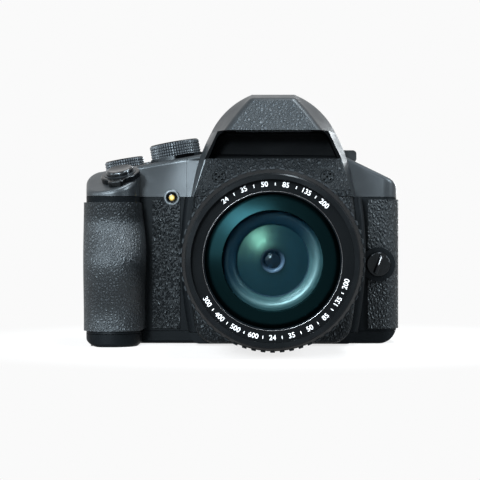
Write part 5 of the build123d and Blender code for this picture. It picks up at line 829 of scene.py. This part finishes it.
# Each finish by its short name
MATERIALS = {
    "skin": leather_material("grained_skin", GRAIN_COLOUR, SKIN_LEVEL),
    "panel": leather_material("grained_panel", PANEL_COLOUR, PANEL_LEVEL),
    "grip": grip_material(),
    "shell": moulded_material("moulded_shell", SHELL_COLOUR),
    "top": top_cover_material(),
    "head": flash_head_material(),
    "inner_shell": moulded_material("inner_plastic", GLOSS_COLOUR, rough=(0.5, 0.6)),
    "rubber": moulded_material("soft_rubber", RUBBER_COLOUR, rough=(0.55, 0.68), depth=0.018 * MM),
    "gloss": gloss_material(),
    "barrel": turned_material("satin_barrel", BARREL_COLOUR, rough=(0.20, 0.28)),
    "name_ring": turned_material(
        "matte_ring", NAME_RING_COLOUR, rough=(0.50, 0.60), level=NAME_RING_LEVEL
    ),
    "cell": moulded_material(
        "lens_cell", LENS_CELL_COLOUR, rough=(0.55, 0.65), depth=0.001 * MM, level=LENS_CELL_LEVEL
    ),
    "baffle": satin_cone_material(
        "inner_baffle", COATING_MIDDLE_SHADE, BAFFLE_HIGHLIGHT_COLOUR, BAFFLE_TINT, BAFFLE_LEVEL
    ),
    "pupil_ring": satin_cone_material(
        "pupil_ring", COATING_CENTRE_SHADE, PUPIL_RING_HIGHLIGHT_COLOUR, PUPIL_RING_TINT, PUPIL_RING_LEVEL
    ),
    "pupil": pupil_material(),
    "lip": turned_material("polished_lip", LIP_COLOUR, rough=(0.22, 0.30), metallic=1.0),
    "mode_dial": dial_material("mode_dial", "mode_turn"),
    "command_dial": dial_material("command_dial", "command_turn"),
    "lever": moulded_material(
        "lever_gloss", GLOSS_COLOUR, rough=(0.12, 0.18), depth=0.001 * MM, level=LEVER_LEVEL
    ),
    "ribbed": ribbed_material(),
    "steel": brushed_material("brushed_steel", STEEL_COLOUR, rough=(0.22, 0.34)),
    "shoe": brushed_material("shoe_metal", SHOE_COLOUR, rough=(0.30, 0.42)),
    "black_metal": brushed_material(
        "black_metal", BLACK_METAL_COLOUR, rough=(0.28, 0.38), metallic=BLACK_METALLIC
    ),
    "sheet": brushed_material("chassis_sheet", SHEET_COLOUR, rough=(0.3, 0.45)),
    "front_glass": front_glass_material(),
    "coated": coated_material(),
    "clear": clear_glass_material(),
    "lamp": lamp_material(),
    "screen": screen_material(),
    "board": board_material(),
    "diffuser": diffuser_material(),
    "sensor": moulded_material("sensor_cover", SENSOR_COLOUR, rough=(0.06, 0.1), depth=0.0002 * MM),
    "battery": moulded_material("battery_wrap", BATTERY_COLOUR, rough=(0.3, 0.4)),
    "print": printed_material("white_print", PRINT_COLOUR),
    "red": printed_material("red_print", RED_COLOUR),
    "gold": brushed_material("gold_contact", GOLD_COLOUR, rough=(0.2, 0.3)),
}

# The nodes of the model that get each finish
FINISHES = {
    "skin": ("body_leather", "thumb_rest"),
    "panel": ("front_panel",),
    "grip": ("grip_rubber",),
    "shell": (
        "front_cover", "rear_cover", "bottom_cover", "battery_door", "card_door", "terminal_door",
        "lcd_bracket", "lcd_frame",
    ),
    "top": ("top_cover",),
    "head": ("flash_head",),
    "inner_shell": ("evf_module", "variator_carrier", "iris_unit", "guide_tube"),
    "rubber": ("eyecup",),
    "gloss": (
        "shutter_button", "fn_button_1", "fn_button_2", "flash_release_button", "four_way_pad",
        "ok_button", "ae_lock_button", "movie_button", "display_button", "playback_button",
    ),
    "barrel": ("fixed_barrel", "middle_barrel", "front_barrel", "zoom_ring"),
    "name_ring": ("name_ring",),
    "cell": ("front_cell", "rear_lens_group"),
    "mode_dial": ("mode_dial",),
    "command_dial": ("command_dial",),
    "lever": ("power_lever", "focus_selector", "diopter_dial"),
    "ribbed": ("zoom_rubber", "focus_ring"),
    "steel": ("tripod_socket", "strap_lugs"),
    "shoe": ("hot_shoe",),
    "black_metal": ("base_screws", "lens_mount_ring"),
    "sheet": ("chassis",),
    "front_glass": ("front_element",),
    "coated": ("second_element", "variator_lens"),
    "clear": ("eyepiece_lens",),
    "lamp": ("af_lamp_lens",),
    "screen": ("lcd_glass",),
    "board": ("main_board",),
    "diffuser": ("flash_window",),
    "sensor": ("image_sensor",),
    "battery": ("battery",),
}


def finish_nodes():
    """Gives each node of the model its material."""
    for finish, names in FINISHES.items():
        for name in names:
            mesh = NODES[name].data
            mesh.materials.clear()
            mesh.materials.append(MATERIALS[finish])


def mesh_from(bm, name):
    """Turns a bmesh into a mesh."""
    mesh = bpy.data.meshes.new(name)
    bm.to_mesh(mesh)
    bm.free()
    return mesh


def solid_from(bm, name, smooth):
    """Turns a closed bmesh into a mesh whose faces look outward."""
    for face in bm.faces:
        face.smooth = smooth
    bmesh.ops.recalc_face_normals(bm, faces=bm.faces)
    return mesh_from(bm, name)


def block(width, length, thickness):
    """A bmesh of a plain box, centred on the origin."""
    bm = bmesh.new()
    bmesh.ops.create_cube(bm, size=1.0)
    bmesh.ops.scale(bm, vec=(width, length, thickness), verts=bm.verts)
    return bm


def mesh_piece(name, mesh, material, body):
    """A piece of the scene that rides on a body."""
    made = bpy.data.objects.new(name, mesh)
    bpy.context.scene.collection.objects.link(made)
    mesh.materials.append(MATERIALS[material])
    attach(made, body)


def joined_piece(name, parts, material, body):
    """One piece made of several meshes, each a pair of mesh and the matrix that puts it in place."""
    bm = bmesh.new()
    for mesh, matrix in parts:
        copy = mesh.copy()
        copy.transform(matrix)
        bm.from_mesh(copy)
        bpy.data.meshes.remove(copy)
    mesh_piece(name, mesh_from(bm, name), material, body)


def lens_point(angle, radius, y):
    """The point at an angle in radians round the lens axis, from +X towards +Z."""
    return (LENS_X + radius * math.cos(angle), y, LENS_Z + radius * math.sin(angle))


def lens_ring(name, profile, steps, material, body):
    """A ring round the lens axis. The profile is a closed list of (radius, y)."""
    bm = bmesh.new()
    rows = []
    for step in range(steps):
        angle = math.tau * step / steps
        rows.append([bm.verts.new(lens_point(angle, radius, y)) for radius, y in profile])
    for here, ahead in zip(rows, rows[1:] + rows[:1]):
        for k in range(len(profile)):
            after = (k + 1) % len(profile)
            bm.faces.new((here[k], here[after], ahead[after], ahead[k]))
    mesh_piece(name, solid_from(bm, name, smooth=True), material, body)


def lens_dome(name, radius, face_y, height, material, body):
    """A shallow dome on the lens axis, bulging towards -Y from a flat foot."""
    bm = bmesh.new()
    top = bm.verts.new(lens_point(0.0, 0.0, face_y - height))
    angles = [math.tau * step / DOME_STEPS for step in range(DOME_STEPS)]
    loops = []
    for row in range(1, DOME_ROWS + 1):
        turn = math.pi / 2 * row / DOME_ROWS
        reach = radius * math.sin(turn)
        y = face_y - height * math.cos(turn)
        loops.append([bm.verts.new(lens_point(angle, reach, y)) for angle in angles])
    for step in range(DOME_STEPS):
        after = (step + 1) % DOME_STEPS
        bm.faces.new((top, loops[0][step], loops[0][after]))
        for inner, outer in zip(loops, loops[1:]):
            bm.faces.new((inner[step], outer[step], outer[after], inner[after]))
    bm.faces.new(loops[-1])
    mesh_piece(name, solid_from(bm, name, smooth=True), material, body)


def text_mesh(words, height, weight=0.0):
    """Flat letters lying in XY and facing +Z, centred on the origin, made bolder by the weight."""
    curve = bpy.data.curves.new("words", "FONT")
    curve.body = words
    curve.size = height
    curve.extrude = INK / 2
    curve.offset = weight
    curve.align_x = "CENTER"
    curve.align_y = "CENTER"
    holder = bpy.data.objects.new("words", curve)
    bpy.context.scene.collection.objects.link(holder)
    bpy.context.view_layer.update()
    mesh = bpy.data.meshes.new_from_object(holder)
    bpy.data.objects.remove(holder)
    bpy.data.curves.remove(curve)
    return mesh


def tick_mesh(width, length):
    """A thin bar lying in XY, centred on the origin."""
    return mesh_from(block(width, length, INK), "tick")


def flat_mark(outline, depth=INK):
    """A thin plate in XZ that faces +Y, from its outline."""
    bm = bmesh.new()
    near = [bm.verts.new((x, 0.0, z)) for x, z in outline]
    far = [bm.verts.new((x, depth, z)) for x, z in outline]
    bm.faces.new(near)
    bm.faces.new(far)
    for k in range(len(outline)):
        after = (k + 1) % len(outline)
        bm.faces.new((near[k], near[after], far[after], far[k]))
    return solid_from(bm, "mark", smooth=False)


def round_outline(radius):
    """The corners of a circle in XZ."""
    turns = [math.tau * k / ROUND_MARK_STEPS for k in range(ROUND_MARK_STEPS)]
    return [(radius * math.cos(turn), radius * math.sin(turn)) for turn in turns]


def on_lens_face(angle, y, upright):
    """Puts a flat mark on the name ring's face, its foot towards the lens axis if it is upright."""
    spin = angle - QUARTER if upright else angle + QUARTER
    turn = Matrix.Rotation(-math.radians(spin), 4, "Y")
    place = Matrix.Translation(lens_point(math.radians(angle), NAME_RING_TEXT_RADIUS, y))
    return place @ turn @ STAND


def name_ring_marks():
    """Plain numbers and ticks on the ring round the front element."""
    face_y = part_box("name_ring")[0].y - INK / 2
    tick = tick_mesh(*NAME_RING_TICK)
    parts = []
    for words, start, step, upright in NAME_RING_RUNS:
        for index, word in enumerate(words):
            angle = start + step * index
            letters = text_mesh(word, NAME_RING_TEXT_HEIGHT, NAME_RING_TEXT_WEIGHT)
            parts.append((letters, on_lens_face(angle, face_y, upright)))
            if index + 1 < len(words):
                parts.append((tick, on_lens_face(angle + step / 2, face_y, upright)))
    joined_piece("name_ring_marks", parts, "print", "front")


def inner_lip():
    """The bright lip inside the name ring."""
    face_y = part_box("name_ring")[0].y
    outer = LIP_RADIUS + LIP_WIDTH
    rear_y = face_y + LIP_WIDTH
    profile = ((LIP_RADIUS, face_y - LIP_WIDTH), (outer, face_y), (outer, rear_y), (LIP_RADIUS, rear_y))
    lens_ring("inner_lip", profile, LIP_STEPS, "lip", "front")


def second_face_y(radius):
    """The front face of the second element, at a distance from the lens axis."""
    apex_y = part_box("second_element")[0].y
    return apex_y + SECOND_CURVE - math.sqrt(SECOND_CURVE ** 2 - radius ** 2)


def thickened(face, thickness):
    """The profile of a ring behind a face, which is a list of (radius, y)."""
    return face + tuple((radius, y + thickness) for radius, y in reversed(face))


def lens_insides():
    """The rings and the small dome that are seen through the front element."""
    front_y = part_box("front_element")[1].y + INNER_GAP
    knee_y = front_y + (BAFFLE_OUTER - BAFFLE_KNEE) * BAFFLE_SLOPE
    inner_y = knee_y + (BAFFLE_KNEE - BAFFLE_INNER) * BAFFLE_INNER_SLOPE
    face = ((BAFFLE_OUTER, front_y), (BAFFLE_KNEE, knee_y), (BAFFLE_INNER, inner_y))
    baffle = thickened(face, BAFFLE_THICKNESS)
    lens_ring("inner_baffle", baffle, ROUND_STEPS, "baffle", "front")
    step_y = second_face_y(STEP_RADIUS)
    face = ((STEP_RADIUS + STEP_WIDTH, step_y - STEP_WIDTH), (STEP_RADIUS, step_y))
    lens_ring("inner_step", thickened(face, STEP_WIDTH), ROUND_STEPS, "pupil_ring", "front")
    ring_y = second_face_y(PUPIL_RING_INNER)
    face = ((PUPIL_RING_OUTER, ring_y - PUPIL_RING_RISE), (PUPIL_RING_INNER, ring_y))
    ring = thickened(face, BAFFLE_THICKNESS)
    lens_ring("pupil_ring", ring, ROUND_STEPS, "pupil_ring", "front")
    lens_dome("pupil_dome", PUPIL_RING_INNER, ring_y, PUPIL_HEIGHT, "pupil", "front")


def mode_dial_marks():
    """Plain numbers round the top of the larger dial."""
    joint = JOINTS["mode_turn"]
    axis, origin = Vector(joint["axis"]), Vector(joint["pos_m"])
    top = max((vertex.co - origin).dot(axis) for vertex in NODES["mode_dial"].data.vertices)
    facing = axis.to_track_quat("Z", "Y").to_matrix().to_4x4()
    stand = Matrix.Translation(origin + axis * (top + INK / 2)) @ facing
    out = Matrix.Translation((0.0, MODE_TEXT_RADIUS, 0.0))
    parts = []
    for index, word in enumerate(MODE_NUMBERS):
        turn = Matrix.Rotation(math.tau * index / len(MODE_NUMBERS), 4, "Z")
        parts.append((text_mesh(word, MODE_TEXT_HEIGHT), stand @ turn @ out))
    joined_piece("mode_dial_marks", parts, "print", "mode")


def selector_bar():
    """The raised finger bar across the focus selector, with a white line along it."""
    middle = box_middle("focus_selector")
    face_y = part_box("focus_selector")[0].y
    width, length, rise = SELECTOR_BAR
    bm = block(width, 2 * rise, length)
    bmesh.ops.bevel(
        bm, geom=list(bm.edges), offset=SELECTOR_BAR_ROUND, segments=SELECTOR_BAR_STEPS, profile=0.5,
        affect="EDGES",
    )
    turn = Matrix.Rotation(math.radians(SELECTOR_BAR_TURN), 4, "Y")
    place = Matrix.Translation((middle.x, face_y, middle.z)) @ turn
    bmesh.ops.transform(bm, matrix=place, verts=bm.verts)
    mesh = solid_from(bm, "selector_bar", smooth=True)
    mesh_piece("selector_bar", mesh, "lever", "selector")
    line = tick_mesh(SELECTOR_LINE_WIDTH, SELECTOR_LINE_SHARE * length)
    lift = Matrix.Translation((0.0, -rise - INK / 2, SELECTOR_LINE_LIFT * length))
    joined_piece("selector_line", [(line, place @ lift @ STAND)], "print", "selector")


def on_key(node):
    """Puts a flat mark on the middle of a rear key's outer face."""
    middle = box_middle(node)
    return Matrix.Translation((middle.x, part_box(node)[1].y, middle.z))


def rear_key_marks():
    """A red dot for recording, a triangle for playing, and a small mark at each side of the pad."""
    dot = flat_mark(round_outline(KEY_MARK))
    joined_piece("movie_mark", [(dot, on_key("movie_button"))], "red", "movie_key")
    arrow = flat_mark([(KEY_MARK, -KEY_MARK), (KEY_MARK, KEY_MARK), (-KEY_MARK, 0.0)])
    joined_piece("play_mark", [(arrow, on_key("playback_button"))], "print", "play_key")
    half = KEY_MARK / 2
    small = flat_mark([(-half, -half), (half, -half), (0.0, half)])
    out = Matrix.Translation((0.0, 0.0, PAD_MARK_REACH))
    turns = [Matrix.Rotation(math.radians(QUARTER * k), 4, "Y") for k in range(4)]
    parts = [(small, on_key("four_way_pad") @ turn @ out) for turn in turns]
    joined_piece("pad_marks", parts, "print", "pad")


def surface_tree(node):
    """A node's surface, for finding where a mark meets it."""
    mesh = NODES[node].data
    corners = [vertex.co for vertex in mesh.vertices]
    return BVHTree.FromPolygons(corners, [tuple(polygon.vertices) for polygon in mesh.polygons])


def on_barrel(surface, angle, y):
    """Puts a flat mark on a barrel's outer surface, with its top towards the camera body."""
    out = Vector((math.cos(math.radians(angle)), 0.0, math.sin(math.radians(angle))))
    axis = Vector((LENS_X, y, LENS_Z))
    hit = surface.ray_cast(axis + out * BARREL_CLEAR, -out)[0]
    back = Vector((0.0, 1.0, 0.0))
    turn = Matrix((back.cross(out), back, out)).transposed().to_4x4()
    return Matrix.Translation(hit + out * (INK / 2)) @ turn


def zoom_scale():
    """Plain numbers on the zoom ring's rear band, and the line on the fixed barrel that they pass."""
    ring = surface_tree("zoom_ring")
    parts = []
    for index, word in enumerate(ZOOM_NUMBERS):
        place = on_barrel(ring, ZOOM_FROM + ZOOM_STEP * index, ZOOM_BAND_Y)
        parts.append((text_mesh(word, ZOOM_TEXT_HEIGHT), place))
    joined_piece("zoom_scale", parts, "print", "zoom")
    line = tick_mesh(*ZOOM_INDEX_LINE)
    place = on_barrel(surface_tree("fixed_barrel"), ZOOM_FROM, ZOOM_INDEX_Y)
    joined_piece("zoom_index", [(line, place)], "print", "body")


def shoe_contacts():
    """The round contacts on the accessory shoe's floor."""
    surface = surface_tree("hot_shoe")
    middle = box_middle("hot_shoe")
    above_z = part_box("hot_shoe")[1].z + CONTACT_CLEAR
    plate = flat_mark(round_outline(CONTACT_RADIUS), CONTACT_HEIGHT)
    parts = []
    for x, y in CONTACT_PLACES:
        above = Vector((middle.x + x * MM, middle.y + y * MM, above_z))
        hit = surface.ray_cast(above, Vector((0.0, 0.0, -1.0)))[0]
        parts.append((plate, Matrix.Translation(hit + Vector((0.0, 0.0, -INK))) @ STAND))
    joined_piece("shoe_contacts", parts, "gold", "body")


def background_rays(graph):
    """1 for the rays that see the plain background: from the camera, a mirror or a clear piece."""
    path = graph.tree.nodes.new("ShaderNodeLightPath").outputs
    first = graph.math("MAXIMUM", path["Is Camera Ray"], path["Is Glossy Ray"])
    return graph.math("MAXIMUM", first, path["Is Transmission Ray"])


def floor():
    """A pale floor that fades into the background and keeps a soft shadow near the object."""
    bm = bmesh.new()
    bmesh.ops.create_grid(bm, x_segments=1, y_segments=1, size=FLOOR_HALF)
    mesh = mesh_from(bm, "floor")
    made = bpy.data.objects.new("floor", mesh)
    bpy.context.scene.collection.objects.link(made)
    graph = Surface("floor", FLOOR_COLOUR)
    reach = graph.node("ShaderNodeVectorMath", [(0, graph.place())], "Value", operation="LENGTH")
    fade = graph.stretch(reach, SHADOW_FROM, SHADOW_REACH, 1.0 - SHADOW_SHARE, 1.0)
    share = graph.math("MULTIPLY", fade, background_rays(graph))
    glow = graph.node("ShaderNodeEmission", [("Color", BACKGROUND)])
    graph.blend(share, graph.shader.outputs[0], glow, "Material Output")
    mesh.materials.append(graph.done({"Roughness": FLOOR_ROUGHNESS, "Specular IOR Level": 0.0}))


def world():
    """Even light from all round, which the camera sees as the plain background."""
    made = bpy.data.worlds.new("studio")
    bpy.context.scene.world = made
    graph = Graph(made)
    light = graph.tree.nodes["Background"]
    graph.join(WORLD_COLOUR, light.inputs["Color"])
    graph.join(WORLD_STRENGTH, light.inputs["Strength"])
    seen = graph.node("ShaderNodeBackground", [("Color", BACKGROUND), ("Strength", 1.0)])
    graph.blend(background_rays(graph), light.outputs[0], seen, "World Output")


def aimed(name, data, place, aim):
    """Puts a lamp or a camera into the scene, turned towards a point."""
    holder = bpy.data.objects.new(name, data)
    bpy.context.scene.collection.objects.link(holder)
    holder.location = place
    holder.rotation_euler = (Vector(aim) - Vector(place)).to_track_quat("-Z", "Y").to_euler()
    return holder


def lamps():
    """The soft lamps round the object."""
    for name, shape, place, aim, width, height, power in LAMPS:
        light = bpy.data.lights.new(name, "AREA")
        light.shape = shape
        light.size = width
        light.size_y = height
        light.energy = power
        light.color = LAMP_COLOUR
        aimed(name, light, place, aim)


def camera():
    """The photograph's view, from a little above the lens axis and a little right of it."""
    data = bpy.data.cameras.new("view")
    data.sensor_width = CAMERA_SENSOR
    data.lens = CAMERA_SENSOR * abs(CAMERA_PLACE.y) / CAMERA_SPAN
    data.clip_start = CAMERA_NEAR
    data.clip_end = CAMERA_FAR
    bpy.context.scene.camera = aimed("view", data, CAMERA_PLACE, CAMERA_AIM)


finish_nodes()
name_ring_marks()
inner_lip()
lens_insides()
mode_dial_marks()
selector_bar()
rear_key_marks()
zoom_scale()
shoe_contacts()
floor()
world()
lamps()
camera()
bpy.context.scene.view_settings.view_transform = "Standard"
